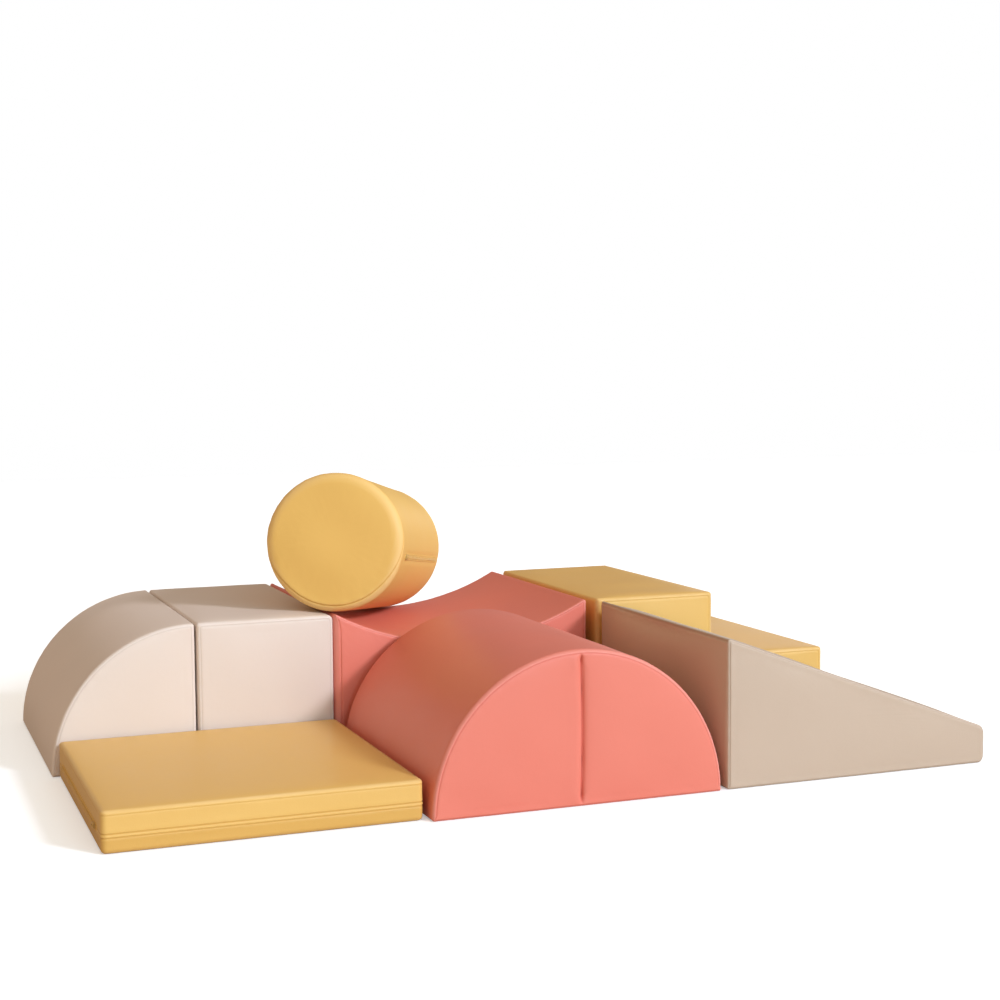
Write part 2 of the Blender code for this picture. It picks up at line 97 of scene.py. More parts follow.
def cells(material, place, scale):
    """Small cells scattered at a scale in repeats per metre: 0 at a cell's middle and more further out."""
    return node(material, "ShaderNodeTexVoronoi", {"Vector": place, "Scale": scale}).outputs["Distance"]


def product(material, first, second):
    """Two values multiplied."""
    return node(material, "ShaderNodeMath", {0: first, 1: second}, operation="MULTIPLY").outputs[0]


def relief(material, height, strength, depth, **beneath):
    """The tilt of a surface with a pattern of a depth in metres, which can lie on another relief."""
    inputs = {"Height": height, "Strength": strength, "Distance": depth, **beneath}
    return node(material, "ShaderNodeBump", inputs).outputs[0]


def foam_material():
    """Open-celled foam: pale, rough, with small pores and a slow change of shade."""
    material, shader, place = blank_material("cut_foam")
    pores = cells(material, place, PORES_PER_METRE)
    shade = product(material, pores, clouds(material, place, scale=9.0, detail=3.0))
    join(material, mixed(material, shade, FOAM_SHADE, FOAM_COLOUR), shader, "Base Color")
    join(material, relief(material, pores, strength=0.5, depth=PORE_DEPTH), shader, "Normal")
    shader.inputs["Roughness"].default_value = FOAM_ROUGHNESS
    return material


cut_foam = foam_material()
for name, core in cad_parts.items():
    if name.endswith("_core"):
        core.data.materials.clear()
        core.data.materials.append(cut_foam)


# Narrow block: a plain block half as wide as the square ones, in a cream cover. Its cover, like
# all others, is sewn from a band that runs round the module and two end panels: the band folds
# over the end's edge, and the seam lies on the end face a little way in from that edge.
CREAM = (0.75, 0.65, 0.58)
CREAM_SHADE = (0.71, 0.61, 0.54)
CREAM_SEAM = 0.55
TALL = 0.250
NARROW_WIDTH = 0.247
BLOCK_DEPTH = 0.500
NEAR_CORNER = 0.0055
PUFF_REACH = 0.012

# A side of a module's outline, seen from the front: where it starts and ends, how much its wall
# swells, the radius of the corner at its end, how far it bows out, the radius of the folded edge,
# how far in from the edge the seam lies and how strong it is, how far apart the columns stand,
# the shares of its length where they stand closer, and the share where a seam crosses the band.
Side = namedtuple("Side", "start end puff corner rise edge inset strength step dense cross",
                  defaults=(0.9, 0.010, 0.0, 0.0065, 0.006, 0.7, 0.005, (), None))
Seat = namedtuple("Seat", "origin across along upward")
Outline = namedtuple("Outline", "rings gap wall edges cross reach", defaults=(PUFF_REACH,))
Edge = namedtuple("Edge", "radius place strength")
Patch = namedtuple("Patch", "points swell lift groove edge pole_first pole_last")

TIGHT_CORNER = 0.004
FLOOR_RADIUS = 0.003
FLOOR_SEAM = 0.0015
FLOOR_SEAM_STRENGTH = 0.6
FLOOR_STEP = 0.008


def floor_side(start, end, dense=()):
    """A side that stands on the floor: flat, with a tight edge and its seam right at that edge."""
    return Side(start, end, puff=0.0, corner=TIGHT_CORNER, edge=FLOOR_RADIUS, inset=FLOOR_SEAM,
                strength=FLOOR_SEAM_STRENGTH, step=FLOOR_STEP, dense=dense)


def side_line(side, shares):
    """Points and outward directions at shares of the way along a side.

    A straight side runs from start to end. A curved one is the arc through both whose middle
    stands out by rise, so its half angle is twice the arc tangent of rise over half the chord.
    """
    start, end = np.array(side.start), np.array(side.end)
    chord = end - start
    length = np.hypot(*chord)
    along = chord / length
    outward = np.array((along[1], -along[0]))
    shares = shares[:, None]
    if not side.rise:
        return start + chord * shares, np.tile(outward, (len(shares), 1))
    half_turn = 2.0 * np.arctan(2.0 * side.rise / length)
    radius = length / (2.0 * np.sin(half_turn))
    turn = half_turn * (2.0 * shares - 1.0)
    normal = outward * np.cos(turn) + along * np.sin(turn)
    centre = (start + end) / 2.0 - outward * radius * np.cos(half_turn)
    return centre + normal * radius, normal


def side_length(side):
    """The length of a side, measured along it."""
    chord = math.dist(side.start, side.end)
    if not side.rise:
        return chord
    half_turn = 2.0 * math.atan(2.0 * side.rise / chord)
    return abs(chord * half_turn / math.sin(half_turn))


PROBES = 4000


def spread(length, coarse, fine, spots, reach):
    """Places from zero to length: a coarse step apart, and down to a fine step near each spot."""
    probe = np.linspace(0.0, length, PROBES)
    nearness = np.exp(-(((probe[:, None] - np.array(spots)) / reach) ** 2)).max(axis=1)
    step = coarse + (fine - coarse) * nearness
    travel = np.concatenate(([0.0], np.cumsum(np.diff(probe) / step[1:])))
    return np.interp(np.linspace(0.0, travel[-1], int(np.ceil(travel[-1])) + 1), travel, probe)


DENSE_STEP = 0.0012
DENSE_REACH = 0.012


def side_shares(side):
    """Shares of a side's length where its columns stand: even, or closer at its dense places."""
    length = side_length(side)
    if not side.dense:
        return np.linspace(0.0, 1.0, max(2, round(length / side.step)) + 1)
    return spread(length, side.step, DENSE_STEP, length * np.array(side.dense), DENSE_REACH) / length


def side_distance(side, points):
    """The distance of each point from a side: from the nearest place on its line or its arc."""
    start, end = np.array(side.start), np.array(side.end)
    chord = end - start
    length = np.hypot(*chord)
    if not side.rise:
        share = np.clip(((points - start) @ chord) / length**2, 0.0, 1.0)
        return np.linalg.norm(points - start - share[..., None] * chord, axis=-1)
    outward = np.array((chord[1], -chord[0])) / length
    half_turn = 2.0 * np.arctan(2.0 * side.rise / length)
    radius = length / (2.0 * np.sin(half_turn))
    centre = (start + end) / 2.0 - outward * radius * np.cos(half_turn)
    spoke = (points - centre) * np.sign(radius)
    turn = np.arctan2(spoke @ (chord / length), spoke @ outward)
    turn = np.clip(turn, -abs(half_turn), abs(half_turn))[..., None]
    nearest = centre + radius * (outward * np.cos(turn) + (chord / length) * np.sin(turn))
    return np.linalg.norm(points - nearest, axis=-1)


def corner_bend(side, following):
    """Half the angle that the outline turns by at a side's end, and whether it turns outwards."""
    normal = side_line(side, np.array([1.0]))[1][0]
    after = side_line(following, np.array([0.0]))[1][0]
    cross = normal[0] * after[1] - normal[1] * after[0]
    return abs(math.atan2(cross, normal @ after)) / 2.0, cross > 0.0


def smooth(share):
    """A share from 0 to 1 eased at both ends: three times its square less twice its cube."""
    share = np.clip(share, 0.0, 1.0)
    return share * share * (3.0 - 2.0 * share)


SEAM_INSET = 0.0085
LEAST_RADIUS = 0.001
SEAM_CORNER = 0.004
CORNER_STEPS = 8


def outline_ring(sides, inset):
    """One ring of an outline moved in by inset: sides cut back at both ends, and corners between.

    A corner is a cubic curve that leaves both sides along their own direction, with handles of four
    thirds of the tangent of a quarter of its turn, times its radius, which follows a circle.
    """
    trims, radii = [], []
    for index, side in enumerate(sides):
        half_bend, convex = corner_bend(side, sides[(index + 1) % len(sides)])
        seam_radius = LEAST_RADIUS + SEAM_CORNER * smooth(inset / SEAM_INSET)
        radius = max(side.corner, inset + seam_radius) if convex else side.corner
        trims.append(radius * math.tan(half_bend))
        radii.append(radius - inset if convex else radius + inset)
    lines = []
    for index, side in enumerate(sides):
        length = side_length(side)
        first, last = trims[index - 1] / length, 1.0 - trims[index] / length
        points, normals = side_line(side, first + (last - first) * side_shares(side))
        lines.append((points - normals * inset, normals))
    ring = []
    steps = np.arange(1, CORNER_STEPS + 1)[:, None] / (CORNER_STEPS + 1)
    for index, (points, normals) in enumerate(lines):
        after_points, after_normals = lines[(index + 1) % len(lines)]
        leave = np.array((-normals[-1][1], normals[-1][0]))
        arrive = np.array((-after_normals[0][1], after_normals[0][0]))
        turn = math.acos(min(1.0, float(leave @ arrive)))
        handle = 4.0 / 3.0 * math.tan(turn / 4.0) * radii[index]
        corner = (points[-1] * (1.0 - steps) ** 3
                  + (points[-1] + leave * handle) * 3.0 * steps * (1.0 - steps) ** 2
                  + (after_points[0] - arrive * handle) * 3.0 * steps**2 * (1.0 - steps)
                  + after_points[0] * steps**3)
        ring += [points, corner]
    return np.concatenate(ring)


def eased_columns(sides, on_side):
    """One value for each column that changes smoothly over the corner between two sides."""
    values = []
    ease = smooth(np.arange(1, CORNER_STEPS + 1) / (CORNER_STEPS + 1))
    for index, side in enumerate(sides):
        after = on_side[(index + 1) % len(sides)]
        values.append(np.full(len(side_shares(side)), float(on_side[index])))
        values.append(on_side[index] + (after - on_side[index]) * ease)
    return np.concatenate(values)


INSET_STEP = 0.001
DEEPEST_INSET = 0.030
GROOVE_DEPTH = 0.0009
GROOVE_WIDTH = 0.0009
CORNER_CROSSING = 0.7 * GROOVE_WIDTH


def prism_outline(sides):
    """A prism's outline: its rings at every inset, its distance from points, its walls and its edge."""
    rings = np.stack([outline_ring(sides, inset) for inset in np.arange(0.0, DEEPEST_INSET, INSET_STEP)])
    walls, crossings = [], []
    for side, after in zip(sides, sides[1:] + sides[:1]):
        place = side_shares(side) * side_length(side)
        rise = (1.0 - np.exp(-place / PUFF_REACH)) * (1.0 - np.exp(-place[::-1] / PUFF_REACH))
        walls += [side.puff * rise, np.zeros(CORNER_STEPS)]
        far = np.full(len(place), np.inf)
        crossings.append(far if side.cross is None else place - place[-1] * side.cross)
        crossings.append(np.full(CORNER_STEPS, np.inf if after.cross is None else CORNER_CROSSING))
    radii = eased_columns(sides, [side.edge for side in sides])
    insets = eased_columns(sides, [side.inset for side in sides])
    on_arc = radii * np.arcsin(np.clip(1.0 - insets / radii, 0.0, 1.0))
    place = np.where(insets >= radii, radii - insets, on_arc)

    def gap(points):
        """The distance of each point from each side."""
        return np.stack([side_distance(side, points) for side in sides])

    edge = Edge(radii, place, eased_columns(sides, [side.strength for side in sides]))
    return Outline(rings, gap, np.concatenate(walls), (edge, edge), np.concatenate(crossings))


def wrap_rows(offsets, radius, seam_place, middle):
    """How far in and how deep each row lies where a cover wraps over an edge.

    offsets are distances from the seam towards the wall. The row's place is counted from where
    the end face turns into the edge: before it the row is on the face, up to a quarter turn on
    the edge's arc, and after it on the wall, which is stretched to end at the middle's depth.
    """
    place = offsets[:, None] + seam_place[None, :]
    quarter = radius * np.pi / 2.0
    turn = np.clip(place / radius, 0.0, np.pi / 2.0)
    inset = radius * (1.0 - np.sin(turn)) - np.minimum(place, 0.0)
    beyond = np.clip((place - quarter) / (place[-1] - quarter), 0.0, 1.0)
    depth = radius * (1.0 - np.cos(turn)) + beyond * (middle - radius)
    return inset, depth, np.sin(2.0 * turn)


def at_inset(table, inset):
    """Points of each row and column, read from the outline's rings between the nearest insets."""
    level = np.clip(inset / INSET_STEP, 0.0, len(table) - 1.001)
    below = level.astype(int)
    share = (level - below)[..., None]
    columns = np.arange(table.shape[1])[None, :]
    return table[below, columns] * (1.0 - share) + table[below + 1, columns] * share


LIP_RISE = 0.0007
LIP_OFFSET = 0.0034
LIP_WIDTH = 0.0026
BAND_LIP_SHARE = 0.45


def seam_lift(gap):
    """A sewn seam across its line: a narrow groove, with a soft lip on the panel and on the band, and the
    groove's mask, by which shade is painted into it.
    """
    groove = np.exp(-((gap / GROOVE_WIDTH) ** 2))
    lip = np.exp(-(((gap + LIP_OFFSET) / LIP_WIDTH) ** 2))
    band_lip = np.exp(-(((gap - LIP_OFFSET) / LIP_WIDTH) ** 2))
    return LIP_RISE * (lip + BAND_LIP_SHARE * band_lip) * (1.0 - groove) - GROOVE_DEPTH * groove, groove


SHORTEST_WAVE = 0.35


def waves(points, longest, count, seed):
    """A smooth random field: plane waves in random directions, about a third to all of the longest."""
    chance = np.random.default_rng(seed)
    total = np.zeros(points.shape[:-1])
    for index in range(count):
        direction = chance.normal(size=points.shape[-1])
        direction /= np.linalg.norm(direction)
        length = longest * (SHORTEST_WAVE + (1.0 - SHORTEST_WAVE) * chance.random())
        phase = 2.0 * np.pi * chance.random()
        total += np.cos(points @ direction * (2.0 * np.pi / length) + phase)
    return total / math.sqrt(count)


PUCKER = 0.00035
PUCKER_REACH = 0.010
PUCKER_LENGTH = 0.034
PUCKER_WAVES = 9


def pucker(points, gap, seed):
    """Small gathers along a seam, which fade away from it."""
    fade = np.exp(-np.abs(gap) / PUCKER_REACH)
    return PUCKER * waves(points, PUCKER_LENGTH, PUCKER_WAVES, seed) * fade


def end_swell(outline, points):
    """How much an end panel swells, from 0 at its seams to 1 well away from them."""
    beyond = np.maximum(outline.gap(points) - SEAM_INSET, 0.0)
    return np.prod(1.0 - np.exp(-beyond / outline.reach), axis=0)


PANEL_REACH = 0.012
ROW_STEP = 0.008
SEAM_STEP = 0.0007
SEAM_SPREAD = 0.006
PINCH_REACH = 0.006
CROSS_START = 0.002
CROSS_FADE = 0.003


def band_patch(outline, depth, middle, seed, panel_swell=(1.0, 1.0), middle_seam=0.0, welt=0.0):
    """The band of a cover with both of its edges, from inside the front seam to inside the back one.

    Across the rows it runs from the front panel over the front edge, along the wall and over the
    back edge to the back panel; along a row it runs once round the outline. A seam can run round
    its middle, with a second row of stitches a welt's width from it on the front's half.
    """
    halves = []
    for facing, length, edge, panel in zip((1, -1), (middle, depth - middle), outline.edges, panel_swell):
        reach = PANEL_REACH + max(0.0, edge.place.max())
        run = length - edge.radius.max() * (1.0 - np.pi / 2.0) - edge.place.min() + reach
        lines = [0.0] * bool(middle_seam) + [welt] * (welt > 0.0 and facing > 0)
        spots = [reach, reach + 2.0 * SEAM_SPREAD] + [run - line for line in lines]
        offsets = spread(run, ROW_STEP, SEAM_STEP, spots, SEAM_SPREAD) - reach
        inset, sunk, bend = wrap_rows(offsets, edge.radius, edge.place, length)
        flat = at_inset(outline.rings, inset)
        points = np.stack((flat[..., 0], sunk if facing > 0 else depth - sunk, flat[..., 1]), axis=-1)
        gap = np.broadcast_to(offsets[:, None], inset.shape)
        # The groove's mask also paints shade into the seam.
        lift, groove = seam_lift(gap)
        lift, groove = lift * edge.strength, groove * edge.strength
        lift = lift + pucker(points, gap, seed) * edge.strength
        for line in lines:
            line_lift, line_groove_and_painted_shade = seam_lift(np.abs(length - line - sunk))
            lift, groove = lift + line_lift * middle_seam, np.maximum(groove, line_groove_and_painted_shade * middle_seam)
        line_lift, line_groove_and_painted_shade = seam_lift(outline.cross)
        past_edge = smooth((gap - CROSS_START) / CROSS_FADE)
        lift, groove = lift + line_lift * past_edge, np.maximum(groove, line_groove_and_painted_shade * past_edge)
        swell = outline.wall * (1.0 - np.exp(-np.maximum(sunk - edge.radius, 0.0) / outline.reach))
        pinch = np.exp(-np.maximum(length - welt - sunk, 0.0) / PINCH_REACH)
        swell = swell * (1.0 - middle_seam * pinch)
        swell = swell + panel * end_swell(outline, flat) * (gap < 0.0)
        # The bend over the edge marks where the edge is painted paler as a highlight.
        halves.append((points, swell, lift, groove, np.maximum(bend, 0.0)))
    joined = [np.concatenate((ahead, behind[::-1][1:])) for ahead, behind in zip(*halves)]
    return Patch(*joined, False, False)


CAP_STEP = 0.007
ZIP_ZONE_STEP = 0.0016
ZIP_ZONE = 0.009
ROUND_WITHIN = 0.7


def cap_patch(outline, ring, heart, y, side, seed, zip_height=0.0, panel_swell=1.0):
    """An end panel, as copies of its rim's ring that shrink to its heart and turn into a circle.

    side is 0 at the front and 1 at the back. The circle, as wide as the rim's nearest place, has its
    points at even angles, so that the ones that stand close together at the rim's corners part.
    """
    edge = outline.edges[side]
    middle_point = np.array((heart[0], y, heart[1]))
    spots = [0.0, zip_height] if zip_height else [0.0]
    inwards = spread(heart[1], CAP_STEP, ZIP_ZONE_STEP, spots, ZIP_ZONE)
    shares = (1.0 - inwards[:-1] / heart[1])[::-1][:, None, None]
    spoke = ring - middle_point
    angles = np.unwrap(np.arctan2(spoke[:, 2], spoke[:, 0]))
    even = np.arange(len(ring)) * (2.0 * np.pi / len(ring))
    even += (angles - even).mean()
    circle = np.stack((np.cos(even), np.zeros(len(ring)), np.sin(even)), axis=-1)
    circle *= np.linalg.norm(spoke, axis=-1).min()
    roundness = smooth((1.0 - shares) / ROUND_WITHIN)
    points = middle_point + (spoke * (1.0 - roundness) + circle * roundness) * shares
    swell = panel_swell * end_swell(outline, points[..., ::2])
    from_seam = -PANEL_REACH - max(0.0, edge.place.max()) - (1.0 - shares[..., 0]) * heart[1]
    lift = pucker(points, np.broadcast_to(from_seam, swell.shape), seed) * edge.strength.max()
    nothing = np.zeros(swell.shape)
    if side:
        return Patch(points[::-1], swell[::-1], lift[::-1], nothing, nothing, False, True)
    return Patch(points, swell, lift, nothing, nothing, True, False)


def zip_corners(module):
    """The places of all points of a module's zip."""
    return np.array([tuple(vertex.co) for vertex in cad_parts[module + "_zip"].data.vertices])


ZIP_SHOULDER = 0.006


def zip_hold(module, seat, points):
    """How firmly the zip holds each of a cover's points: 1 at its tape, and 0 past its shoulder."""
    corners = (zip_corners(module) - seat.origin) @ np.stack((seat.across, seat.along, seat.upward)).T
    outside = np.maximum(corners.min(axis=0) - points, points - corners.max(axis=0))
    return 1.0 - smooth(np.linalg.norm(np.maximum(outside, 0.0), axis=-1) / ZIP_SHOULDER)


def read_points(mesh):
    """The places of all points of a mesh."""
    places = np.empty(len(mesh.vertices) * 3)
    mesh.vertices.foreach_get("co", places)
    return places.reshape(-1, 3)


def read_normals(mesh):
    """The direction that each point of a mesh faces."""
    normals = np.empty(len(mesh.vertices) * 3)
    mesh.vertex_normals.foreach_get("vector", normals)
    return normals.reshape(-1, 3)


def read_values(mesh, title):
    """The values of one of a mesh's point attributes."""
    values = np.empty(len(mesh.vertices))
    mesh.attributes[title].data.foreach_get("value", values)
    return values


def placed(name, data):
    """An object with its mesh, lamp or camera, linked into the scene."""
    piece = bpy.data.objects.new(name, data)
    bpy.context.collection.objects.link(piece)
    return piece


DENT = 0.0006
DENT_LENGTH = 0.30
DENT_WAVES = 12
MERGE_DISTANCE = 0.00001
ZIP_DEPTH = 0.0004


def sew(module, patches, seat, seed, zip_depth=ZIP_DEPTH):
    """One closed mesh from patches, set in its seat and blown up, with its seams pressed in.

    A patch is rows of points that close on themselves, so its faces join each row to the next.
    A pole closes the first or the last row. Rows that two patches share are merged.
    """
    fields, quads, fans = [], [], []
    base = 0
    for patch in patches:
        rows, columns = patch.lift.shape
        index = base + np.arange(rows * columns).reshape(rows, columns)
        after = np.roll(index, -1, axis=1)
        quads.append(np.stack((index[:-1], index[1:], after[1:], after[:-1]), axis=-1).reshape(-1, 4))
        field = np.concatenate((patch.points, patch.swell[..., None], patch.lift[..., None],
                                patch.groove[..., None], patch.edge[..., None]), axis=-1)
        fields.append(field.reshape(-1, 7))
        base += rows * columns
        for wanted, row, first in ((patch.pole_first, 0, True), (patch.pole_last, -1, False)):
            if wanted:
                pole = np.full(columns, base)
                ring = (pole, index[row], after[row]) if first else (index[row], pole, after[row])
                fans.append(np.stack(ring, axis=-1))
                fields.append(field[row].mean(axis=0)[None])
                base += 1
    field = np.concatenate(fields)
    local = field[:, :3]
    held = zip_hold(module, seat, local)
    swell = field[:, 3] * (1.0 - held)
    dents = DENT * waves(local, DENT_LENGTH, DENT_WAVES, seed) * swell
    lift = (field[:, 4] + dents) * (1.0 - held) - zip_depth * held
    world = seat.origin + local @ np.stack((seat.across, seat.along, seat.upward))
    mesh = bpy.data.meshes.new(module + "_cover_vinyl")
    mesh.from_pydata(world.tolist(), [], np.concatenate(quads).tolist() + np.concatenate(fans).tolist())
    # These point marks carry the painted shade in the seams and the painted highlight on the folded edges.
    marks = (("swell", swell), ("lift", lift), ("groove", field[:, 5] * (1.0 - held)), ("edge", field[:, 6]))
    for title, values in marks:
        mesh.attributes.new(title, "FLOAT", "POINT").data.foreach_set("value", values.astype(np.float32))
    work = bmesh.new()
    work.from_mesh(mesh)
    bmesh.ops.remove_doubles(work, verts=work.verts, dist=MERGE_DISTANCE)
    work.to_mesh(mesh)
    work.free()
    mesh.shade_smooth()
    piece = placed(mesh.name, mesh)
    fill_out(piece)
    return piece


def fill_out(piece):
    """Blows a cover up with the foam's pressure, then raises its lips and presses its seams in."""
    mesh = piece.data
    places, normals = read_points(mesh), read_normals(mesh)
    swell, lift = read_values(mesh, "swell"), read_values(mesh, "lift")
    motion = cloth_motion(piece, places, swell)
    places = places + motion + normals * lift[:, None]
    places[:, 2] = np.maximum(places[:, 2], 0.0)
    mesh.vertices.foreach_set("co", places.ravel())
    mesh.attributes.remove(mesh.attributes["swell"])
    mesh.attributes.remove(mesh.attributes["lift"])
    mesh.update()


CAGE_STEP = 0.010
CLOTH_FRAMES = 20
CLOTH_PRESSURE = 4.0
CLOTH_GROWTH = -0.002
CLOTH_EASING = 12
FREE_SWELL = 0.25
NEAREST_COUNT = 4
NEAREST_BIAS = 0.0005
LEAST_SWELL = 0.001
MOST_PUFF = 0.0034
PUFF_GAIN = 1.4
NO_MOTION = 0.00001


def nearness_tree(places):
    """A search tree of places."""
    tree = KDTree(len(places))
    for index, place in enumerate(places):
        tree.insert(place, index)
    tree.balance()
    return tree


def cloth_motion(piece, places, swell):
    """How each point of a cover moves when the cover is blown up as cloth, held at its seams.

    The cloth is a copy of the cover with an even mesh. As the vinyl is too stiff for small creases,
    its motion is eased by setting each point's to the mean of its neighbours' a dozen times. It is
    read back at the four nearest points, each weighted by one over its distance, and levels off at
    the most that the foam allows.
    """
    cloth = placed(piece.name + "_cloth", piece.data.copy())
    remesh = cloth.modifiers.new("even mesh", "REMESH")
    remesh.mode = "VOXEL"
    remesh.voxel_size = CAGE_STEP
    even = bpy.data.meshes.new_from_object(cloth.evaluated_get(bpy.context.evaluated_depsgraph_get()))
    cloth.modifiers.clear()
    cloth.data = even
    tree = nearness_tree(places)
    rest = read_points(even)
    nearest = np.array([tree.find(place)[1] for place in rest])
    hold = 1.0 - smooth(swell[nearest] / FREE_SWELL)
    group = cloth.vertex_groups.new(name="sewn down")
    for index, weight in enumerate(hold):
        group.add([index], float(weight), "REPLACE")
    simulation = cloth.modifiers.new("cloth", "CLOTH")
    settings = simulation.settings
    settings.quality = 5
    settings.mass = 0.3
    settings.tension_stiffness = 40.0
    settings.compression_stiffness = 40.0
    settings.shear_stiffness = 15.0
    settings.bending_stiffness = 2.0
    settings.use_pressure = True
    settings.uniform_pressure_force = CLOTH_PRESSURE
    settings.shrink_min = CLOTH_GROWTH
    settings.effector_weights.gravity = 0.0
    settings.vertex_group_mass = group.name
    simulation.point_cache.frame_start = 1
    simulation.point_cache.frame_end = CLOTH_FRAMES
    for step in range(1, CLOTH_FRAMES + 1):
        bpy.context.scene.frame_set(step)
    blown = cloth.evaluated_get(bpy.context.evaluated_depsgraph_get())
    moved = read_points(blown.data) - rest
    ends = np.empty(len(even.edges) * 2, dtype=np.int32)
    even.edges.foreach_get("vertices", ends)
    ends = np.concatenate((ends.reshape(-1, 2), ends.reshape(-1, 2)[:, ::-1]))
    neighbours = np.bincount(ends[:, 0], minlength=len(rest))[:, None]
    for _ in range(CLOTH_EASING):
        sums = [np.bincount(ends[:, 0], moved[ends[:, 1], axis], len(rest)) for axis in range(3)]
        moved = np.stack(sums, axis=1) / neighbours
    bpy.context.scene.frame_set(1)
    bpy.data.objects.remove(cloth)
    tree = nearness_tree(rest)
    motion = np.zeros(places.shape)
    for index in np.nonzero(swell > LEAST_SWELL)[0]:
        found = tree.find_n(places[index], NEAREST_COUNT)
        weights = np.array([1.0 / (entry[2] + NEAREST_BIAS) for entry in found])
        motion[index] = weights @ moved[[entry[1] for entry in found]] / weights.sum()
    size = np.linalg.norm(motion, axis=1, keepdims=True)
    most = MOST_PUFF * np.maximum(np.minimum(1.0, swell * PUFF_GAIN), swell)[:, None]
    return motion * most * np.tanh(size / np.maximum(most, NO_MOTION)) / np.maximum(size, NO_MOTION)


# Painted highlight: the folded edges are mixed towards a paler tone, unevenly in patches.
EDGE_HIGHLIGHT_PALER = 0.25
# Painted shade: seams are mixed towards a deeper tone of the colour, by these two numbers.
SEAM_SHADE_SHARE = 0.85
SEAM_SHADE_POWER = 1.35
EDGE_HIGHLIGHT_SHARE = 0.6
CLOUD_LOW = 0.3
CLOUD_HIGH = 0.7
VINYL_SPECULAR = 0.46
VINYL_COAT = 0.16
DULL_ROUGHNESS = (0.54, 0.64)
SHINE_SMOOTHS = 0.08
DULL_COAT_ROUGHNESS = 0.46
SHINE_SMOOTHS_COAT = 0.20


def rough_in_patches(material, pattern, shader, least, most):
    """Gives a shader a roughness that follows a cloudy pattern, from least to most."""
    spans = {"Value": pattern, "From Min": CLOUD_LOW, "From Max": CLOUD_HIGH, "To Min": least, "To Max": most}
    join(material, node(material, "ShaderNodeMapRange", spans).outputs[0], shader, "Roughness")


def vinyl(name, colour, shade, shine=1.0):
    """Soft vinyl on a knit back: fine leather grain, a soft sheen, seams painted darker as shade, folded
    edges painted paler as a highlight.
    """
    material, shader, place = blank_material(name)
    groove = node(material, "ShaderNodeAttribute", {}, attribute_name="groove").outputs["Fac"]
    edge = node(material, "ShaderNodeAttribute", {}, attribute_name="edge").outputs["Fac"]
    slow = clouds(material, place, scale=5.0, detail=4.0)
    # Painted highlight along the folded edges, uneven in patches.
    edge_highlight_tone = tuple(value + EDGE_HIGHLIGHT_PALER * (1.0 - value) for value in colour)
    # Painted shade: the deeper tone that the seams' grooves and the mat's lower shell are painted with.
    deep = tuple(SEAM_SHADE_SHARE * value**SEAM_SHADE_POWER for value in colour)
    edge_highlight = product(material, product(material, edge, slow), EDGE_HIGHLIGHT_SHARE)
    tone = mixed(material, edge_highlight, mixed(material, slow, shade, colour), edge_highlight_tone)
    join(material, mixed(material, groove, tone, deep), shader, "Base Color")
    least, most = (rough - SHINE_SMOOTHS * shine for rough in DULL_ROUGHNESS)
    rough_in_patches(material, slow, shader, least, most)
    pores = cells(material, place, scale=620.0)
    fine = clouds(material, place, scale=900.0, detail=3.0)
    grain = node(material, "ShaderNodeMath", {0: pores, 1: fine}, operation="ADD").outputs[0]
    broad = relief(material, clouds(material, place, scale=55.0, detail=2.0), strength=0.20, depth=0.0010)
    join(material, relief(material, grain, strength=0.22, depth=0.0003, Normal=broad), shader, "Normal")
    shader.inputs["Specular IOR Level"].default_value = VINYL_SPECULAR * shine
    shader.inputs["Coat Weight"].default_value = VINYL_COAT * shine
    shader.inputs["Coat Roughness"].default_value = DULL_COAT_ROUGHNESS - SHINE_SMOOTHS_COAT * shine
    return material


EAST, NORTH, UPRIGHT = np.eye(3)
SKIN = 0.0011


def seat_of(module):
    """The seat of a module that stands square in the set: the corner of its cover, from its core."""
    return Seat(np.array(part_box(module + "_core")[0]) - SKIN, EAST, NORTH, UPRIGHT)


def dress(piece, module, material):
    """The finish of a cover, the body that it rides on and the plain cover that it stands for."""
    piece.data.materials.append(material)
    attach(piece, module)
    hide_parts(module + "_cover")


BACK_ZIP_REACH = 0.018


def square_module(module, sides, heart, seeds, material, zip_height=BACK_ZIP_REACH):
    """The whole cover of a plain prism that stands square in the set: its band and two end panels."""
    outline = prism_outline(sides)
    band = band_patch(outline, BLOCK_DEPTH, BLOCK_DEPTH / 2.0, seeds[0])
    front = cap_patch(outline, band.points[0], heart, 0.0, 0, seeds[0])
    back = cap_patch(outline, band.points[-1], heart, BLOCK_DEPTH, 1, seeds[0], zip_height)
    dress(sew(module, [band, front, back], seat_of(module), seeds[1]), module, material)


cream_vinyl = vinyl("cream_vinyl", CREAM, CREAM_SHADE)
narrow_sides = [
    floor_side((0.0, 0.0), (NARROW_WIDTH, 0.0)),
    Side((NARROW_WIDTH, 0.0), (NARROW_WIDTH, TALL), puff=0.0, strength=CREAM_SEAM),
    Side((NARROW_WIDTH, TALL), (0.0, TALL), corner=NEAR_CORNER, strength=CREAM_SEAM),
    Side((0.0, TALL), (0.0, 0.0), puff=0.3, corner=TIGHT_CORNER, strength=CREAM_SEAM)]
narrow_heart = (NARROW_WIDTH / 2.0, TALL / 2.0)
square_module("narrow_block", narrow_sides, narrow_heart, (3, 11), cream_vinyl)


# Quarter-round: a quarter of a cylinder in a cream cover, its curve towards the left. The band
# runs up the flat side and down the curve, and the quarter-circle panels close both ends.
quarter_rise = TALL * (1.0 - math.cos(math.pi / 4.0))
quarter_sides = [
    floor_side((0.0, 0.0), (TALL, 0.0)),
    Side((TALL, 0.0), (TALL, TALL), puff=0.3, corner=NEAR_CORNER, strength=CREAM_SEAM),
    Side((TALL, TALL), (0.0, 0.0), corner=TIGHT_CORNER, rise=quarter_rise, inset=0.005, strength=CREAM_SEAM)]
square_module("quarter_round", quarter_sides, (TALL * 0.58, TALL * 0.42), (5, 13), cream_vinyl)


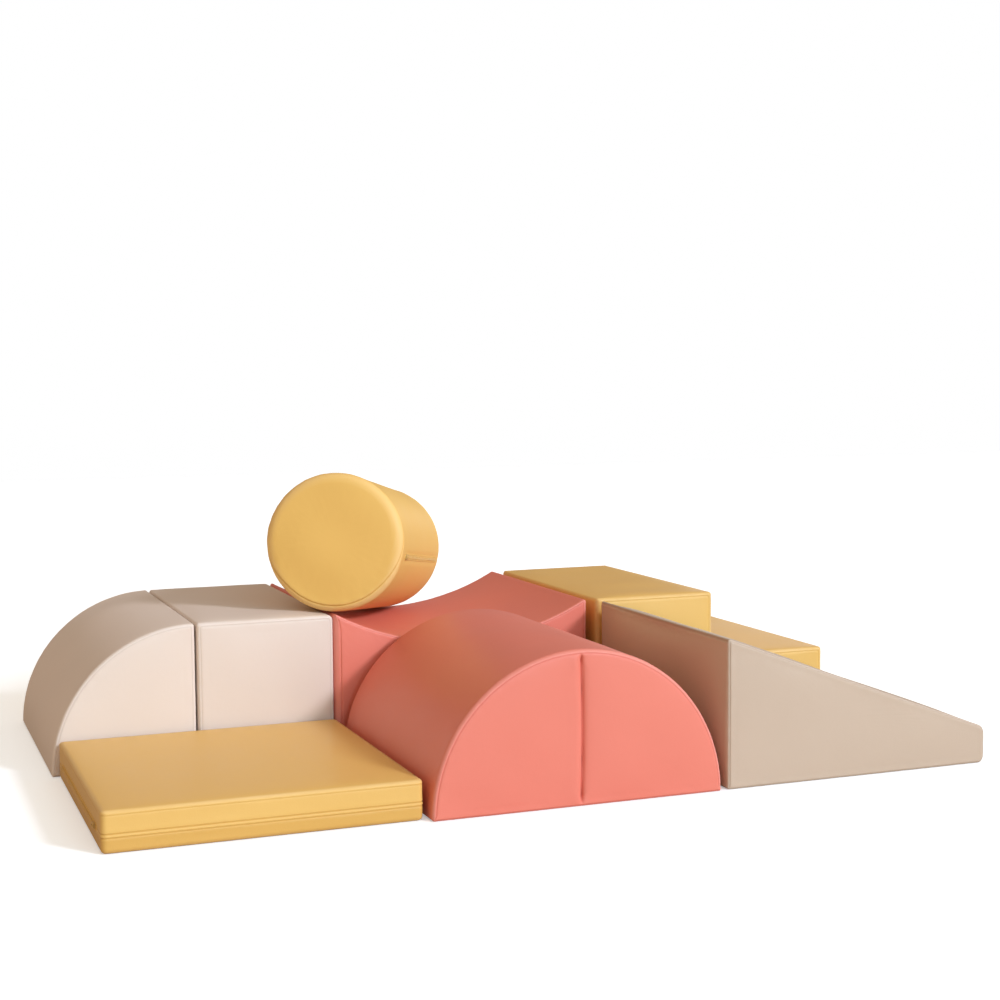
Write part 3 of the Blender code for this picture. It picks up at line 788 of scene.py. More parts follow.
# Saddle block: a square block in coral whose top is hollowed from front to back. The seam of its
# front panel lies well in from the left edge, and on the very edge of the hollow top.
CORAL = (0.785, 0.226, 0.166)
CORAL_SHADE = (0.735, 0.200, 0.146)
PEAK_RADIUS = 0.005
PEAK = 0.2533
TROUGH_BOTTOM = 0.1875
SADDLE_WIDTH = 0.500
SADDLE_SEAM = 0.5
coral_vinyl = vinyl("coral_vinyl", CORAL, CORAL_SHADE)
saddle_sides = [
    floor_side((0.0, 0.0), (SADDLE_WIDTH, 0.0)),
    Side((SADDLE_WIDTH, 0.0), (SADDLE_WIDTH, PEAK), puff=2.0, corner=PEAK_RADIUS, edge=0.008,
         inset=0.007, strength=SADDLE_SEAM),
    Side((SADDLE_WIDTH, PEAK), (0.0, PEAK), puff=0.0, corner=PEAK_RADIUS, rise=TROUGH_BOTTOM - PEAK,
         edge=0.005, inset=0.003),
    Side((0.0, PEAK), (0.0, 0.0), puff=0.0, corner=TIGHT_CORNER, edge=0.0135, inset=0.013,
         strength=SADDLE_SEAM)]
saddle_heart = (SADDLE_WIDTH / 2.0, TROUGH_BOTTOM / 2.0)
square_module("saddle_block", saddle_sides, saddle_heart, (7, 17), coral_vinyl)


# Stairs: a block with two treads in yellow that goes down to the right. One band runs over both
# treads and risers, and two stepped panels close its ends.
YELLOW = (0.78, 0.50, 0.15)
YELLOW_SHADE = (0.73, 0.45, 0.125)
TREAD = 0.250
STEP_RISE = 0.125
STAIRS_LENGTH = 2.0 * TREAD
STAIRS_INSET = 0.007
STAIRS_SEAM = 0.5
yellow_vinyl = vinyl("yellow_vinyl", YELLOW, YELLOW_SHADE)
stairs_corners = ((STAIRS_LENGTH, 0.0), (STAIRS_LENGTH, STEP_RISE), (TREAD, STEP_RISE),
                  (TREAD, TALL), (0.0, TALL))
stairs_puffs = (1.2, 0.4, 1.6, 0.9)
stairs_radii = (0.006, 0.012, 0.006, 0.007)
stairs_walls = zip(stairs_corners, stairs_corners[1:], stairs_puffs, stairs_radii)
stairs_sides = [
    floor_side((0.0, 0.0), (STAIRS_LENGTH, 0.0)),
    *(Side(start, end, puff, corner, inset=STAIRS_INSET, strength=STAIRS_SEAM)
      for start, end, puff, corner in stairs_walls),
    Side((0.0, TALL), (0.0, 0.0), puff=0.7, corner=TIGHT_CORNER, edge=0.011, inset=0.010,
         strength=STAIRS_SEAM)]
square_module("stairs", stairs_sides, (TREAD * 0.56, STEP_RISE * 0.5), (9, 19), yellow_vinyl)


# Mat: a thin yellow pad. Its top is sewn to a band just under the edge. A welt between two rows
# of stitches joins the band to the bottom shell, which is painted a little darker as shade. The zip
# is on the left.
MAT_LENGTH = 0.4875
MAT_THICKNESS = 0.0635
MAT_SEAM_HEIGHT = 0.029
MAT_WELT = 0.006
MAT_TOP_RADIUS = 0.0045
MAT_TOP_SEAM = 0.0025
MAT_FOOT_RADIUS = 0.006
MAT_CORNER_RADIUS = 0.009
MAT_TOP_SWELL = 0.4
MAT_TOP_STRENGTH = 0.4
SHELL_PAINTED_SHADE = 0.55
SHELL_SHADE_FADE = 0.001
mat_puffs = (0.9, 0.9, 0.9, 0.25)
mat_far = np.array((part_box("mat_core")[0].x - SKIN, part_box("mat_core")[1].y + SKIN, 0.0))
mat_seat = Seat(mat_far, EAST, UPRIGHT, -NORTH)
mat_corners = ((0.0, 0.0), (MAT_LENGTH, 0.0), (MAT_LENGTH, BLOCK_DEPTH), (0.0, BLOCK_DEPTH), (0.0, 0.0))
mat_sides = [Side(start, end, puff, MAT_CORNER_RADIUS, edge=MAT_FOOT_RADIUS, inset=MAT_FOOT_RADIUS,
                  strength=0.0)
             for start, end, puff in zip(mat_corners, mat_corners[1:], mat_puffs)]
mat_outline = prism_outline(mat_sides)
foot_edge = mat_outline.edges[0]
top_place = MAT_TOP_RADIUS * math.pi / 2.0 + MAT_TOP_SEAM
top_values = (MAT_TOP_RADIUS, top_place, MAT_TOP_STRENGTH)
top_edge = Edge(*(np.full(len(foot_edge.radius), value) for value in top_values))
mat_outline = mat_outline._replace(edges=(foot_edge, top_edge))
mat_band = band_patch(mat_outline, MAT_THICKNESS, MAT_SEAM_HEIGHT, 21, (0.0, MAT_TOP_SWELL), 1.0, MAT_WELT)
# Painted shade: the shell below the welt is mixed towards the deeper seam tone.
shaded_below_welt = smooth((MAT_SEAM_HEIGHT - MAT_WELT - mat_band.points[..., 1]) / SHELL_SHADE_FADE)
mat_band = mat_band._replace(groove=np.maximum(mat_band.groove, SHELL_PAINTED_SHADE * shaded_below_welt))
mat_heart = (MAT_LENGTH / 2.0, BLOCK_DEPTH / 2.0)
mat_patches = [mat_band]
for side, y, swell in ((0, 0.0, 0.0), (1, MAT_THICKNESS, MAT_TOP_SWELL)):
    mat_patches.append(cap_patch(mat_outline, mat_band.points[-side], mat_heart, y, side, 21, 0.0, swell))
dress(sew("mat", mat_patches, mat_seat, 23), "mat", yellow_vinyl)


# Wedge: a ramp in a pale sand colour with a blunt, soft toe. Its side panels are sewn on at the
# very edge, so its edges are tight. A seam of the band runs along the ramp's top edge, and the
# zip runs low along the tall end.
SAND = (0.57, 0.46, 0.365)
SAND_SHADE = (0.53, 0.42, 0.33)
SAND_SHINE = 0.7
WEDGE_LENGTH = 0.504
WEDGE_TOE = 0.0625
WEDGE_TOE_CORNER = 0.014
WEDGE_CROSS = 0.0015
sand_vinyl = vinyl("sand_vinyl", SAND, SAND_SHADE, SAND_SHINE)
wedge_fold = {"edge": 0.0038, "inset": 0.0022, "strength": 0.6}
wedge_sides = [
    floor_side((0.0, 0.0), (WEDGE_LENGTH, 0.0))._replace(corner=0.011),
    Side((WEDGE_LENGTH, 0.0), (WEDGE_LENGTH, WEDGE_TOE), puff=0.4, corner=WEDGE_TOE_CORNER, **wedge_fold),
    Side((WEDGE_LENGTH, WEDGE_TOE), (0.0, TALL), corner=0.003, **wedge_fold),
    Side((0.0, TALL), (0.0, 0.0), puff=1.9, corner=TIGHT_CORNER, edge=0.0045, inset=0.003, strength=0.8,
         dense=(WEDGE_CROSS, 1.0 - MAT_SEAM_HEIGHT / TALL), cross=WEDGE_CROSS)]
wedge_heart = (WEDGE_LENGTH * 0.38, TALL * 0.38)
square_module("wedge", wedge_sides, wedge_heart, (25, 27), sand_vinyl, zip_height=0.0)


# Half-round: half a cylinder in coral on two foam quarters. Its top is one panel; each end has
# two quarter panels that meet in a deep seam up the middle.
HALF_ROUND_SKIN = 0.0023
HALF_ROUND_SETBACK = 0.006
CENTRE_DEPTH = 0.0070
CENTRE_WIDTH = 0.0024
CENTRE_BOW = 0.0025
CENTRE_SHADE_WIDTH = 0.0022
PINCHED_WITHIN = 0.030
LOBE_LIP = 0.0014
LOBE_LIP_OFFSET = 0.012
LOBE_LIP_WIDTH = 0.008
LOBE_HEARTS = (1.42, 0.58)
LOBE_HEART_HEIGHT = 0.42
CENTRE_STEP = 0.005
half_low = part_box("half_round_left_core")[0]
half_corner = np.array((half_low.x - HALF_ROUND_SKIN, half_low.y - SKIN - HALF_ROUND_SETBACK, 0.0))
half_seat = Seat(half_corner, EAST, NORTH, UPRIGHT)
half_sides = [
    floor_side((0.0, 0.0), (2.0 * TALL, 0.0), (0.5,)),
    Side((2.0 * TALL, 0.0), (0.0, 0.0), corner=TIGHT_CORNER, rise=TALL, edge=0.007, inset=0.006, strength=0.6,
         dense=(0.5,))]
half_outline = prism_outline(half_sides)
half_band = band_patch(half_outline, BLOCK_DEPTH, BLOCK_DEPTH / 2.0, 29)
half_foot = int(np.argmin(np.abs(side_shares(half_sides[0]) - 0.5)))
half_top = len(side_shares(half_sides[0])) + CORNER_STEPS
half_top += int(np.argmin(np.abs(side_shares(half_sides[1]) - 0.5)))
half_patches = [half_band]
for side, ring, y in ((0, half_band.points[0], 0.0), (1, half_band.points[-1], BLOCK_DEPTH)):
    rise = np.linspace(0.0, 1.0, round(TALL / CENTRE_STEP) + 1)[1:-1, None]
    centre_line = ring[half_foot] + (ring[half_top] - ring[half_foot]) * rise
    lobes = (np.concatenate((ring[half_foot:half_top + 1], centre_line[::-1])),
             np.concatenate((ring[half_top:], ring[:half_foot + 1], centre_line)))
    for lobe_ring, heart_share in zip(lobes, LOBE_HEARTS):
        lobe_heart = (TALL * heart_share, TALL * LOBE_HEART_HEIGHT)
        zip_height = BACK_ZIP_REACH * side
        half_patches.append(cap_patch(half_outline, lobe_ring, lobe_heart, y, side, 29, zip_height))

RIM_START = 0.006
RIM_FADE = 0.008
FOLD_REACH = 0.004
FOLD_FOOT = 0.003
FOLD_FADE = 0.010


def press_centre(patch):
    """Presses the centre seam into a patch of the half-round: a deep fold up the middle of its ends.

    The fold is steepest at its line and dies away on both sides, at the curved rim and at the floor.
    """
    across, deep, up = np.moveaxis(patch.points, -1, 0)
    gap = across - TALL - CENTRE_BOW * np.sin(np.pi * np.clip(up / TALL, 0.0, 1.0))
    end_gap = np.minimum(deep, BLOCK_DEPTH - deep)
    rim = TALL - np.hypot(across - TALL, up)
    inside = np.clip((rim - RIM_START) / RIM_FADE, 0.0, 1.0) * np.exp(-((end_gap / FOLD_REACH) ** 2))
    inside = inside * np.clip((up - FOLD_FOOT) / FOLD_FADE, 0.0, 1.0)
    swell = patch.swell * (1.0 - inside * np.exp(-((gap / PINCHED_WITHIN) ** 2)))
    lift = patch.lift - CENTRE_DEPTH * np.exp(-np.abs(gap) / CENTRE_WIDTH) * inside
    lift = lift + LOBE_LIP * np.exp(-(((gap + LOBE_LIP_OFFSET) / LOBE_LIP_WIDTH) ** 2)) * inside
    # Painted shade along the centre fold.
    groove = np.maximum(patch.groove, np.exp(-((gap / CENTRE_SHADE_WIDTH) ** 2)) * inside)
    return patch._replace(swell=swell, lift=lift, groove=groove)


half_cover = sew("half_round", [press_centre(patch) for patch in half_patches], half_seat, 31)
dress(half_cover, "half_round", coral_vinyl)


# Roller: a yellow cylinder that lies across the saddle block. A tube with its zip along one side
# and two round panels, which turn over the rim and are sewn to the tube behind it; at the bottom
# they sit a little high, so that the seam comes round onto the rim.
# Painted light: the roller's cover is the yellow vinyl painted a little lighter, and it is less shiny.
ROLLER_LIGHTER_YELLOW = (0.81, 0.52, 0.150)
ROLLER_LIGHTER_YELLOW_SHADE = (0.77, 0.48, 0.130)
ROLLER_SHINE = 0.6
ROLLER_RADIUS = 0.126
ROLLER_LENGTH = 0.550
ROLLER_RIM = 0.015
ROLLER_COLUMNS = 180
ROLLER_CAP_ROWS = 15
ROLLER_REACH = 0.032
ROLLER_CROWN = 3.2
ROLLER_SEAM = 0.9
ROLLER_ZIP_DEPTH = 0.0013
BEHIND_RIM = ROLLER_RIM * math.pi / 2.0 + 0.002
ON_RIM = ROLLER_RIM * 0.30
LOW_SEAM_TURN = math.radians(-88.0)
LOW_SEAM_REACH = math.radians(78.0)
LOW_SEAM_HOLD = 1.5
roller_axis = np.array((0.433415, 0.892583, -0.124285))
roller_axis /= np.linalg.norm(roller_axis)
roller_across = np.array((roller_axis[1], -roller_axis[0], 0.0))
roller_across /= np.linalg.norm(roller_across)
roller_middle = (np.array(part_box("roller_core")[0]) + np.array(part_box("roller_core")[1])) / 2.0
roller_seat = Seat(roller_middle - roller_axis * ROLLER_LENGTH / 2.0, roller_across, roller_axis,
                   np.cross(roller_across, roller_axis))
turns = np.arange(ROLLER_COLUMNS) * (2.0 * np.pi / ROLLER_COLUMNS)
circle = np.stack((np.cos(turns), np.sin(turns)), axis=-1)
insets = np.arange(0.0, DEEPEST_INSET, INSET_STEP)
roller_rings = np.stack([circle * (ROLLER_RADIUS - inset) for inset in insets])


def roller_gap(points):
    """The distance of each point from the roller's round outline."""
    return ROLLER_RADIUS - np.linalg.norm(points, axis=-1)[None]


off_bottom = np.abs(np.angle(np.exp(1j * (turns - LOW_SEAM_TURN))))
low_seam = smooth(LOW_SEAM_HOLD - off_bottom / LOW_SEAM_REACH)
rim = Edge(np.full(ROLLER_COLUMNS, ROLLER_RIM),
           BEHIND_RIM + (ON_RIM - BEHIND_RIM) * low_seam, np.full(ROLLER_COLUMNS, ROLLER_SEAM))
roller_outline = Outline(roller_rings, roller_gap, np.zeros(ROLLER_COLUMNS), (rim, rim),
                         np.full(ROLLER_COLUMNS, np.inf), ROLLER_REACH)
roller_band = band_patch(roller_outline, ROLLER_LENGTH, ROLLER_LENGTH / 2.0, 33, (ROLLER_CROWN, ROLLER_CROWN))
roller_patches = [roller_band]
for side, ring, y in ((0, roller_band.points[0], 0.0), (1, roller_band.points[-1], ROLLER_LENGTH)):
    middle_point = np.array((0.0, y, 0.0))
    shares = (1.0 - np.arange(ROLLER_CAP_ROWS)[::-1] / ROLLER_CAP_ROWS)[:, None, None]
    points = middle_point + (ring - middle_point) * shares
    swell = ROLLER_CROWN * end_swell(roller_outline, points[..., ::2])
    nothing = np.zeros(swell.shape)
    rows = Patch(points, swell, nothing, nothing, nothing, True, False)
    if side:
        rows = Patch(points[::-1], swell[::-1], nothing, nothing, nothing, False, True)
    roller_patches.append(rows)
# A lighter copy of the yellow vinyl, which stands in for light on the roller.
roller_lighter_vinyl = vinyl("roller_lighter_vinyl", ROLLER_LIGHTER_YELLOW, ROLLER_LIGHTER_YELLOW_SHADE, ROLLER_SHINE)
roller_cover = sew("roller", roller_patches, roller_seat, 35, ROLLER_ZIP_DEPTH)
dress(roller_cover, "roller", roller_lighter_vinyl)


# Zips: each cover closes with a nylon coil zip on two woven tapes in the cover's colour, sewn in
# with two rows of thread. The slider on the coil and the clips at both ends are painted to match.
ZIP_MARGIN = 0.050
ZIP_HEIGHT = 0.029


def tube(rings):
    """Points and faces of a closed tube through rings of equal count, with a face over each end."""
    count, columns = rings.shape[:2]
    index = np.arange(count * columns).reshape(count, columns)
    after = np.roll(index, -1, axis=1)
    quads = np.stack((index[:-1], after[:-1], after[1:], index[1:]), axis=-1).reshape(-1, 4)
    return rings.reshape(-1, 3), quads.tolist() + [index[0][::-1].tolist(), index[-1].tolist()]


def repeated(points, faces, offsets):
    """Copies of one form at many offsets, as points and faces."""
    everywhere = (points[None] + offsets[:, None]).reshape(-1, 3)
    starts = [len(points) * copy for copy in range(len(offsets))]
    return everywhere, [[corner + start for corner in face] for start in starts for face in faces]


def bar(start, end, radius, sides=6, rounding=0.7):
    """A thin bar from start to end with blunt ends."""
    start, end = np.array(start), np.array(end)
    along = (end - start) / np.linalg.norm(end - start)
    beside = np.cross(along, (0.0, 1.0, 0.0))
    beside /= np.linalg.norm(beside)
    above = np.cross(beside, along)
    turns = np.arange(sides) * (2.0 * np.pi / sides)
    ring = (np.cos(turns)[:, None] * beside + np.sin(turns)[:, None] * above) * radius
    reach = np.linalg.norm(end - start)
    stations = ((0.0, rounding), (radius, 1.0), (reach - radius, 1.0), (reach, rounding))
    return tube(np.stack([start + along * place + ring * share for place, share in stations]))


def build(name, parts, axes, origin, material, body):
    """One object from parts given in a zip's own directions: along it, out of the face, and up."""
    points, faces, base = [], [], 0
    for part_points, part_faces in parts:
        points.append(part_points)
        faces += [[corner + base for corner in face] for face in part_faces]
        base += len(part_points)
    world = origin + np.concatenate(points) @ axes
    mesh = bpy.data.meshes.new(name)
    mesh.from_pydata(world.tolist(), [], faces)
    mesh.shade_smooth()
    mesh.set_sharp_from_angle(angle=math.radians(40.0))
    mesh.materials.append(material)
    piece = placed(name, mesh)
    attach(piece, body)
    return piece


def dyed(name, colour, scale, detail, darkest):
    """A material that changes slowly between its colour and a darker one, and its slow pattern."""
    material, shader, place = blank_material(name)
    slow = clouds(material, place, scale, detail)
    dark = tuple(value * darkest for value in colour)
    join(material, mixed(material, slow, dark, colour), shader, "Base Color")
    return material, shader, place, slow


def woven(name, colour):
    """Woven polyester tape: fine ribs across the weave, a slow change of tone and no shine."""
    material, shader, place, _ = dyed(name, colour, scale=30.0, detail=2.0, darkest=0.85)
    ribs = cells(material, place, scale=1800.0)
    join(material, relief(material, ribs, strength=0.5, depth=0.0002), shader, "Normal")
    shader.inputs["Roughness"].default_value = 0.85
    return material


def nylon(name, colour):
    """Dyed nylon coil: a little shine and a slow change of tone."""
    material, shader, _, slow = dyed(name, colour, scale=60.0, detail=2.0, darkest=0.8)
    rough_in_patches(material, slow, shader, least=0.32, most=0.45)
    return material


def enamel(name, colour):
    """Baked paint over cast metal: smooth and a little shiny, thinner and darker in patches."""
    material, shader, _, slow = dyed(name, colour, scale=240.0, detail=4.0, darkest=0.75)
    rough_in_patches(material, slow, shader, least=0.30, most=0.42)
    join(material, relief(material, slow, strength=0.2, depth=0.0001), shader, "Normal")
    return material


HALF_TAPE = 0.006
TAPE_BACK = -0.0008
TAPE_FACE = 0.0006
TAPE_BEVEL = 0.0003
TAPE_STEP = 0.005
STITCH_PITCH = 0.0036
STITCH_LENGTH = 0.0026
STITCH_RADIUS = 0.0002
STITCH_ROW = 0.0050


def zip_tape(length):
    """The two tapes, which meet under the coil, and the two rows of thread that sew them in."""
    low, narrow = TAPE_FACE - TAPE_BEVEL, HALF_TAPE - TAPE_BEVEL
    profile = ((TAPE_BACK, -HALF_TAPE), (low, -HALF_TAPE), (TAPE_FACE, -narrow),
               (TAPE_FACE, narrow), (low, HALF_TAPE), (TAPE_BACK, HALF_TAPE))
    stations = np.linspace(0.0, length, round(length / TAPE_STEP) + 1)
    rings = np.array([[(place, out, up) for out, up in profile[::-1]] for place in stations])
    parts = [tube(rings)]
    thread = bar((0.0, 0.0, 0.0), (STITCH_LENGTH, 0.0, 0.0), STITCH_RADIUS)
    places = np.arange(STITCH_PITCH, length - 2.0 * STITCH_PITCH, STITCH_PITCH)
    for row in (-STITCH_ROW, STITCH_ROW):
        offsets = np.stack((places, np.full(len(places), TAPE_FACE), np.full(len(places), row)), axis=-1)
        parts.append(repeated(*thread, offsets))
    return parts


COIL_PITCH = 0.0015
COIL_REACH = 0.0023
COIL_RADIUS = 0.00055
COIL_HEIGHT = 0.0015
COIL_LEAN = 0.0003
COIL_HOOK = 0.0004
COIL_MARGIN = 0.003


def zip_coil(length):
    """The closed coil: turns from the left and the right, one after the other, that hook together."""
    left = bar((0.0, 0.0, -COIL_REACH), (COIL_LEAN, 0.0, COIL_HOOK), COIL_RADIUS)
    right = bar((0.0, 0.0, COIL_REACH), (COIL_LEAN, 0.0, -COIL_HOOK), COIL_RADIUS)
    places = np.arange(COIL_MARGIN, length - COIL_MARGIN, COIL_PITCH)
    flat = np.zeros(len(places))
    parts = []
    for turn, shift in ((left, 0.0), (right, COIL_PITCH / 2.0)):
        parts.append(repeated(*turn, np.stack((places + shift, flat + COIL_HEIGHT, flat), axis=-1)))
    return parts


SLIDER_START = 0.004
SLIDER_LENGTH = 0.016
SLIDER_FOOT = 0.0009
SLIDER_ROOF = 0.0025
SLIDER_TOP = 0.0041
SLIDER_INNER = 0.0028
SLIDER_OUTER = 0.0044
SLIDER_BEVEL = 0.0006
SLIDER_SHOULDER = 0.3 * SLIDER_BEVEL
SLIDER_TAPER = 0.0006
END_NARROWER = 0.0004
END_LOWER = 0.0009
ROUNDED_END = 0.12
BRIDGE_MIDDLE = 0.008
BRIDGE_REACH = 0.0042
BRIDGE_SUNK = 0.0004
BRIDGE_RISE = 0.0020


def zip_slider():
    """The slider: a cast channel that rides over the coil, rounded at both ends, with a small bridge.

    The channel's section is carried along it, lower and narrower at its ends. The bridge's section
    is carried round half an ellipse on the slider's top.
    """
    rings = []
    bevel, shoulder = SLIDER_BEVEL, SLIDER_SHOULDER
    for share in (0.0, 0.04, 0.12, 0.3, 0.5, 0.7, 0.88, 0.96, 1.0):
        end = smooth(min(share, 1.0 - share) / ROUNDED_END)
        outer = SLIDER_OUTER - SLIDER_TAPER * (1.0 - share) ** 2 - END_NARROWER * (1.0 - end)
        top = SLIDER_TOP - END_LOWER * (1.0 - end)
        outline = ((SLIDER_FOOT, -outer), (top - bevel, -outer), (top - shoulder, -outer + shoulder),
                   (top, -outer + bevel), (top, outer - bevel), (top - shoulder, outer - shoulder),
                   (top - bevel, outer), (SLIDER_FOOT, outer), (SLIDER_FOOT, SLIDER_INNER),
                   (SLIDER_ROOF, SLIDER_INNER), (SLIDER_ROOF, -SLIDER_INNER), (SLIDER_FOOT, -SLIDER_INNER))
        rings.append([(SLIDER_LENGTH * share, out, up) for out, up in outline])
    arch = []
    section = ((-0.0004, -0.0008), (0.0002, -0.0010), (0.0004, -0.0005), (0.0004, 0.0005), (0.0002, 0.0010),
               (-0.0004, 0.0008))
    for turn in np.linspace(0.0, math.pi, 11):
        height = SLIDER_TOP - BRIDGE_SUNK + BRIDGE_RISE * math.sin(turn)
        middle = np.array((BRIDGE_MIDDLE - BRIDGE_REACH * math.cos(turn), height, 0.0))
        away = np.array((-math.cos(turn), 0.8 * math.sin(turn) + 0.2, 0.0))
        away /= np.linalg.norm(away)
        arch.append([middle + away * out + np.array((0.0, 0.0, up)) for out, up in section])
    return [tube(np.array(rings)[::-1]), tube(np.array(arch))]


STOP_RISE = 0.0017
STOP_REACH = 0.0032
STOP_SUNK = 0.0001
STOP_NEAR = 0.0006
STOP_FAR = 0.0026


def zip_stops(length):
    """The metal clips that stop the slider, one at each end of the coil."""
    ring = np.array(((0.0, -1.0), (0.8, -0.9), (1.0, -0.6), (1.0, 0.6), (0.8, 0.9), (0.0, 1.0)))
    rings = []
    for place, share in ((0.0, 0.8), (0.0004, 1.0), (0.0016, 1.0), (0.0020, 0.8)):
        rings.append([(place, TAPE_FACE - STOP_SUNK + out * STOP_RISE * share, up * STOP_REACH * share)
                      for out, up in ring[::-1]])
    ends = np.array(((STOP_NEAR, 0.0, 0.0), (length - STOP_FAR, 0.0, 0.0)))
    return [repeated(*tube(np.array(rings)), ends)]


dyes = {"cream": CREAM, "coral": CORAL, "yellow": YELLOW, "sand": SAND}
tapes = {dye: woven(dye + "_tape", colour) for dye, colour in dyes.items()}
coils = {dye: nylon(dye + "_coil", colour) for dye, colour in dyes.items()}
PAINT_DEEPER = 0.85
paints = {dye: enamel(dye + "_enamel", tuple(value * PAINT_DEEPER for value in colour))
          for dye, colour in dyes.items()}
zip_plans = []
for module, dye in (("narrow_block", "cream"), ("quarter_round", "cream"), ("saddle_block", "coral"),
                    ("stairs", "yellow")):
    corner = seat_of(module).origin + (ZIP_MARGIN, BLOCK_DEPTH, ZIP_HEIGHT)
    zip_plans.append((module, dye, corner, EAST, NORTH))
zip_plans.append(("half_round", "coral", half_corner + (ZIP_MARGIN, BLOCK_DEPTH, ZIP_HEIGHT), EAST, NORTH))
for module, dye in (("mat", "yellow"), ("wedge", "sand")):
    corner = seat_of(module).origin + (0.0, ZIP_MARGIN, ZIP_HEIGHT)
    zip_plans.append((module, dye, corner, NORTH, -EAST))
ZIP_TURN = math.radians(78.0)
ZIP_FACET_RADIUS = ROLLER_RADIUS * math.cos(math.radians(6.0))
zip_out = roller_seat.across * math.sin(ZIP_TURN) - roller_seat.upward * math.cos(ZIP_TURN)
zip_foot = roller_seat.origin + zip_out * ZIP_FACET_RADIUS + roller_axis * ZIP_MARGIN
zip_plans.append(("roller", "yellow", zip_foot, roller_axis, zip_out))
for module, dye, origin, along, out in zip_plans:
    axes = np.stack((along, out, np.cross(along, out)))
    length = float(np.ptp(zip_corners(module) @ along))
    tape = build(module + "_zip_tape", zip_tape(length), axes, origin, tapes[dye], module)
    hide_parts(module + "_zip")
    build(module + "_zip_coil", zip_coil(length), axes, origin, coils[dye], module)
    build(module + "_zip_stops", zip_stops(length), axes, origin, paints[dye], module)
    slider = build(module + "_zip_slider_body", zip_slider(), axes, origin + along * SLIDER_START,
                   paints[dye], module + "_slider")
    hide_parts(module + "_zip_slider")


# Floor, light and camera: a plain pale floor, a key light from the front right, a broad fill from
# low in front, a small window lamp behind on the right, and a camera at the photograph's angle.
# The key is two lamps in one direction, and only the weaker one shows in the vinyl's gloss.
FLOOR_HALF = 8.0
FLOOR_LEVEL = -0.0005
FLOOR_GLOW = 0.36
FLOOR_SHEEN = 0.12
FLOOR_TONE = (0.70, 0.58, 0.46)
FLOOR_MIRRORED = (0.26, 0.22, 0.19)
FLOOR_SEEN = (0.84, 0.91, 0.97)
FLOOR_GLOW_TONE = (0.97, 0.985, 1.0)
floor_mesh = bpy.data.meshes.new("floor")
floor_corners = [(-FLOOR_HALF, -FLOOR_HALF, FLOOR_LEVEL), (FLOOR_HALF, -FLOOR_HALF, FLOOR_LEVEL),
                 (FLOOR_HALF, FLOOR_HALF, FLOOR_LEVEL), (-FLOOR_HALF, FLOOR_HALF, FLOOR_LEVEL)]
floor_mesh.from_pydata(floor_corners, [], [(0, 1, 2, 3)])
floor = placed("floor", floor_mesh)
floor_material, floor_shader, _ = blank_material("pale_floor")
floor_shader.inputs["Roughness"].default_value = 0.9
floor_shader.inputs["Specular IOR Level"].default_value = 0.1
rays = node(floor_material, "ShaderNodeLightPath", {}).outputs
seen = rays["Is Camera Ray"]
sheen = product(floor_material, rays["Is Glossy Ray"], FLOOR_SHEEN)
glow = node(floor_material, "ShaderNodeMath", {0: seen, 1: FLOOR_GLOW, 2: sheen}, operation="MULTIPLY_ADD")
join(floor_material, glow.outputs[0], floor_shader, "Emission Strength")
floor_tone = mixed(floor_material, rays["Is Glossy Ray"], FLOOR_TONE, FLOOR_MIRRORED)
join(floor_material, mixed(floor_material, seen, floor_tone, FLOOR_SEEN), floor_shader, "Base Color")
floor_shader.inputs["Emission Color"].default_value = (*FLOOR_GLOW_TONE, 1.0)
floor_mesh.materials.append(floor_material)


def turned(back):
    """The axes of a lamp or camera whose back faces a direction and whose top stays up."""
    back = np.array(back) / np.linalg.norm(back)
    side = np.cross((0.0, 0.0, 1.0), back)
    side = side / np.linalg.norm(side)
    return Matrix(np.stack((side, np.cross(back, side), back), axis=1).tolist()).to_4x4()


def sun(name, towards, energy, spread_angle, colour, in_gloss=True):
    """A soft distant light from a direction, which the gloss of the vinyl shows or doesn't."""
    lamp_data = bpy.data.lights.new(name, "SUN")
    lamp_data.energy = energy
    lamp_data.angle = math.radians(spread_angle)
    lamp_data.color = colour
    lamp = placed(name, lamp_data)
    lamp.matrix_world = turned(towards)
    lamp.visible_glossy = in_gloss


KEY_TOWARDS = (0.544, -0.696, 0.469)
KEY_COLOUR = (0.89, 0.90, 1.0)
KEY_ANGLE = 9.0
KEY_STRENGTH = 1.50
KEY_GLOSS_STRENGTH = 0.56
FILL_TOWARDS = (0.32, -0.93, 0.20)
FILL_COLOUR = (0.45, 0.80, 1.0)
FILL_ANGLE = 60.0
FILL_STRENGTH = 1.70
sun("key", KEY_TOWARDS, KEY_STRENGTH, KEY_ANGLE, KEY_COLOUR, in_gloss=False)
sun("key_gloss", KEY_TOWARDS, KEY_GLOSS_STRENGTH, KEY_ANGLE, KEY_COLOUR)
sun("front_fill", FILL_TOWARDS, FILL_STRENGTH, FILL_ANGLE, FILL_COLOUR)
WINDOW_PLACE = np.array((2.60, 3.00, 0.82))
WINDOW_AIM = (0.40, 0.20, 0.15)
WINDOW_SIZE = (0.95, 0.45)
WINDOW_POWER = 3.5
window_data = bpy.data.lights.new("window", "AREA")
window_data.shape = "RECTANGLE"
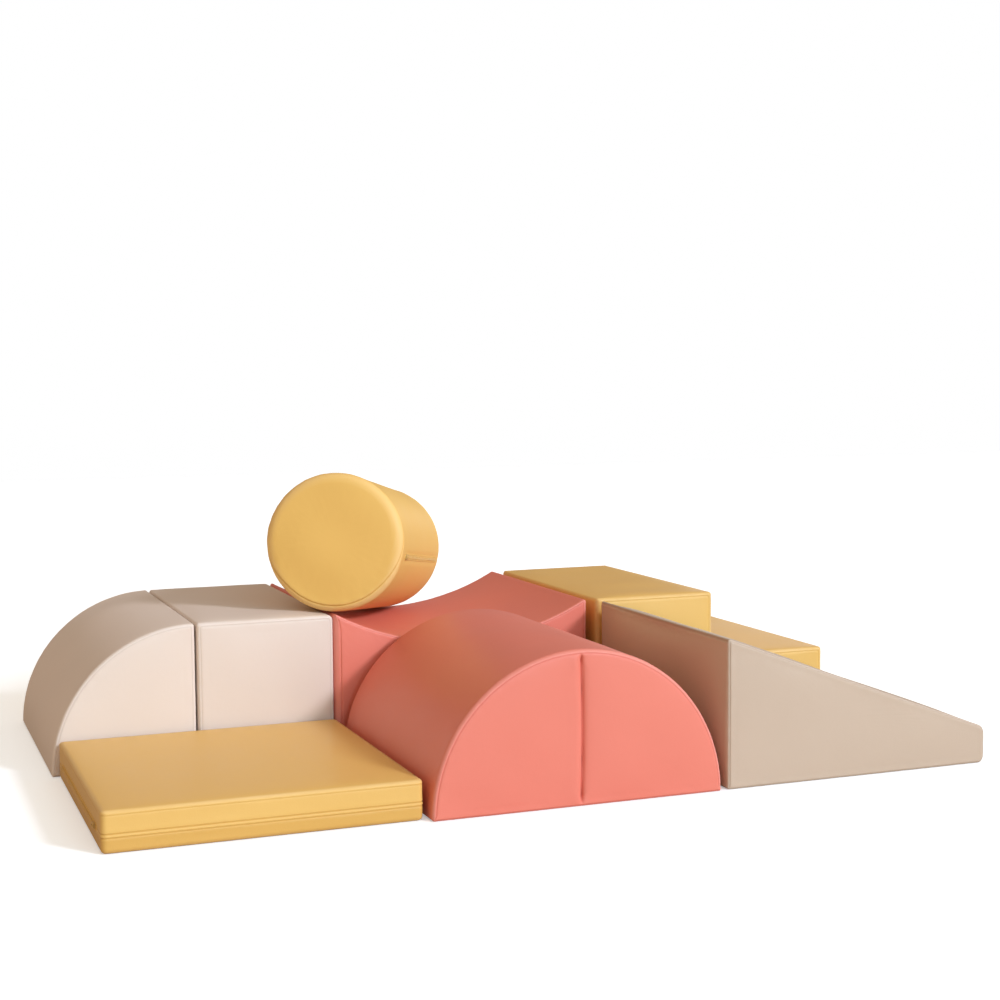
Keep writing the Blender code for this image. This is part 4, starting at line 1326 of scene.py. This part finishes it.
window_data.size, window_data.size_y = WINDOW_SIZE
window_data.energy = WINDOW_POWER
window = placed("window", window_data)
window.matrix_world = Matrix.Translation(WINDOW_PLACE.tolist()) @ turned(WINDOW_PLACE - WINDOW_AIM)
window.visible_camera = False

SKY_COLOUR = (1.0, 0.762, 0.55)
SKY_STRENGTH = 0.635
MIRRORED_COLOUR = (1.0, 0.93, 0.90)
MIRRORED_STRENGTH = 0.22
world = bpy.data.worlds.new("studio")
bpy.context.scene.world = world
world.use_nodes = True
sky = world.node_tree.nodes["Background"]
sky.inputs["Color"].default_value = (*SKY_COLOUR, 1.0)
sky.inputs["Strength"].default_value = SKY_STRENGTH
mirrored = node(world, "ShaderNodeBackground",
                {"Color": (*MIRRORED_COLOUR, 1.0), "Strength": MIRRORED_STRENGTH})
white = node(world, "ShaderNodeBackground", {"Color": (1.0, 1.0, 1.0, 1.0)})
paths = node(world, "ShaderNodeLightPath", {}).outputs
lit = node(world, "ShaderNodeMixShader",
           {0: paths["Is Glossy Ray"], 1: sky.outputs[0], 2: mirrored.outputs[0]})
shown = node(world, "ShaderNodeMixShader",
             {0: paths["Is Camera Ray"], 1: lit.outputs[0], 2: white.outputs[0]})
join(world, shown.outputs[0], world.node_tree.nodes["World Output"], "Surface")

CAMERA_PLACE = (-1.07286, -2.96675, 0.69413)
CAMERA_TURN = 0.36771
CAMERA_DIP = -0.07806
CAMERA_ROLL = -0.00769
CAMERA_LENS = 61.25
camera_data = bpy.data.cameras.new("camera")
camera = placed("camera", camera_data)
camera_data.sensor_width = 36.0
camera_data.lens = CAMERA_LENS
forward = np.array((math.sin(CAMERA_TURN) * math.cos(CAMERA_DIP),
                    math.cos(CAMERA_TURN) * math.cos(CAMERA_DIP), math.sin(CAMERA_DIP)))
camera_roll = Matrix.Rotation(CAMERA_ROLL, 4, "Z")
camera.matrix_world = Matrix.Translation(CAMERA_PLACE) @ turned(-forward) @ camera_roll
bpy.context.scene.camera = camera
bpy.context.scene.view_settings.view_transform = "Standard"
